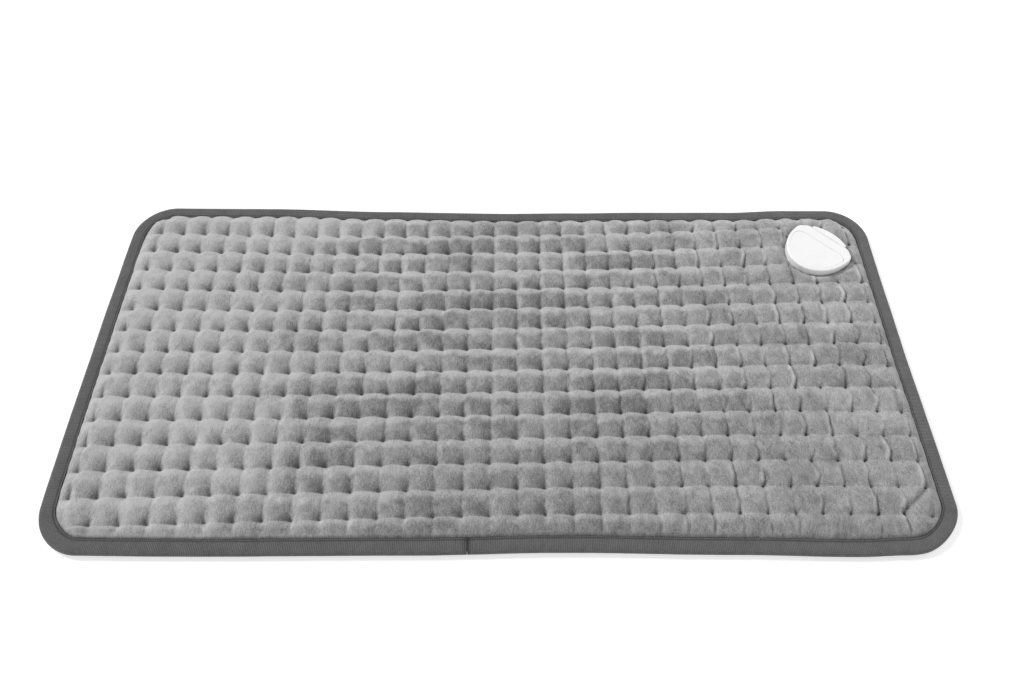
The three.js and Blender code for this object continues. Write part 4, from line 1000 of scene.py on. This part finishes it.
def ears_out(uw):
    """The ears beside the tongue fill out towards the corner, and the tongue's end is a rounder arc."""
    u, w = uw[:, 0], uw[:, 1]
    side = np.abs(w)
    tongue = smooth((u - CHORD - 0.1) / 4) * np.maximum(1.1 - 0.9 * (w / EAR_FLAT) ** 2, 0)
    ear = smooth((u - 1.5) / 5) * smooth((12 - u) / 3.5) * smooth((side - 13.5) / 1.5)
    ear = ear * np.where(w > 0, 1.6, 1.3)
    ear = ear * np.exp(-(np.maximum(side - 19, 0) / 1.8) ** 2)
    slim = -0.9 * np.exp(-((u + 1) / 6.5) ** 2) * smooth((w - 16) / 8)
    return np.stack([u + np.maximum(tongue, ear), w + slim], -1)


SEAM_MOVE = 0.14  # each side of the button's seam closes by this, which leaves 0.12 mm


def shell_form(uw, z):
    """The window draws in, and the tongue's end swells."""
    offset, normal = outline_offset(uw, oval_outline(2.5, -0.6))
    window = (np.abs(offset) < 0.08) & (z > 9.0)
    uw = np.where(window[:, None], uw - normal * SEAM_MOVE, uw)
    flush = smooth((uw[:, 0] - 5.2) / 1.2) * (np.abs(uw[:, 1]) < 15.6) * smooth((z - 11.2) / 1.0)
    z = np.where(flush > 0, np.minimum(z + 0.28 * flush, SHELL_TOP - 0.02 * (uw[:, 0] > 6.2)), z)
    return ears_out(uw), z


def button_form(uw, z):
    """The plate spreads to the seam and its edge gets a smaller rounding."""
    offset, normal = outline_offset(uw, oval_outline(2.9, -1.0))
    plate = (z > 11.2) & (offset < 0.62)
    rim = plate & (z > SHELL_TOP - 0.52)
    move = np.where(rim, SEAM_MOVE + np.clip(offset, 0, 0.5) * 0.5, SEAM_MOVE)
    uw = np.where(plate[:, None], uw + normal * move[:, None], uw)
    return ears_out(uw), np.where(rim, SHELL_TOP - (SHELL_TOP - z) * 0.5, z)


shell = finer_copy("satin_shell", "controller_shell", WHITE, shell_form)
button = finer_copy("satin_button", "button_cap", WHITE, button_form)
stand_in(shell, "controller_shell")
stand_in(button, "button_cap", "button")

# The spring: a plated steel copy of the solid, with its place baked into its points
spring = finer_copy("coil_spring", "return_spring", STEEL, lambda uw, z: (uw, z))
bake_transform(spring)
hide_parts("return_spring")

# Finishes of the solids that stay

FINISH = (
    (WHITE, "controller_base"),
    (BOARD, "circuit_board"),
    (DARK, "switch_body switch_plunger triac microcontroller terminal_block lead_clamp inlet_block"),
    (SLEEVE, "fuse thermal_cutout_1 thermal_cutout_2 crimp_splice_1 crimp_splice_2"),
    (LEAD_WHITE, "heater_lead_1 heater_lead_2"),
    (WIRE_RED, "heating_wire_1 heating_wire_2 heating_wire_3 film_capacitor"),
    (STEEL, "shell_screw_1 shell_screw_2 shell_screw_3 shell_screw_4"),
    (BRASS, "inlet_pin_1 inlet_pin_2"),
)
for material, nodes in FINISH:
    for node in nodes.split():
        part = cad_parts[node]
        part.data.materials.clear()
        part.data.materials.append(material)


# Studio: floor, light and camera

def studio():
    """A white floor in even light, with a sun from the left and far side, a fill and a panel at the right."""
    scene = bpy.context.scene
    bpy.ops.mesh.primitive_plane_add(size=14, location=(0, 0, -0.0002))
    floor = bpy.context.object
    floor.name = "floor"
    n = Nodes("white_floor")
    n.set(rough=0.9, specular=0.1, glow=(1, 1, 1), glow_strength=0.52)
    n.set(colour=n.mix(n.ramp(n.noise(400, 2), 0.3, 0.7), (0.62, 0.62, 0.62), (0.65, 0.65, 0.65)))
    floor.data.materials.append(n.made)

    n = Nodes("studio", bpy.data.worlds, "Background")
    scene.world = n.made
    ray = n.node("LightPath").outputs
    seen = n.math("MAXIMUM", ray["Is Camera Ray"], ray["Is Glossy Ray"])
    seen = n.math("MAXIMUM", seen, ray["Is Transmission Ray"])
    n.feed(n.shader.inputs["Color"], (1, 1, 1))
    n.feed(n.shader.inputs["Strength"], n.ramp(seen, 0, 1, 0.38, 1.0, "LINEAR"))

    suns = (("key", 2.75, 13, (0.70, -0.50, -0.56)), ("fill", 0.85, 60, (-0.20, 0.85, -0.42)))
    for name, energy, angle, aim in suns:
        light = bpy.data.lights.new(name, "SUN")
        light.energy, light.angle = energy, math.radians(angle)
        placed(name, light).rotation_euler = Vector(aim).to_track_quat("-Z", "Y").to_euler()
    light = bpy.data.lights.new("side_panel", "AREA")
    light.energy, light.size = 1.3, 0.4
    panel = placed("side_panel", light)
    panel.location = (0.78, 0.25, 0.30)
    panel.rotation_euler = (Vector((0.24, 0, 0)) - panel.location).to_track_quat("-Z", "Y").to_euler()
    scene.view_settings.view_transform = "Standard"


def camera():
    """The camera that matches the picture: focal length in pixels, tilt, turn and roll."""
    focal, wide = 858.4, 1020
    pitch, yaw, roll = (math.radians(a) for a in (54.18, 1.61, 1.48))
    forward = Vector((math.sin(yaw) * math.cos(pitch), math.cos(yaw) * math.cos(pitch), -math.sin(pitch)))
    right = forward.cross(Vector((0, 0, 1))).normalized()
    up = right.cross(forward)
    right, up = (math.cos(roll) * right + math.sin(roll) * up, math.cos(roll) * up - math.sin(roll) * right)
    data = bpy.data.cameras.new("camera")
    data.sensor_width = 36
    data.lens = focal / wide * data.sensor_width
    data.clip_start, data.clip_end = 0.01, 50
    made = placed("camera", data)
    place = (-4.9 * MM, -362.8 * MM, 528.2 * MM)
    made.matrix_world = Matrix((*zip(right, up, -forward, place), (0, 0, 0, 1)))
    bpy.context.scene.camera = made


studio()
camera()
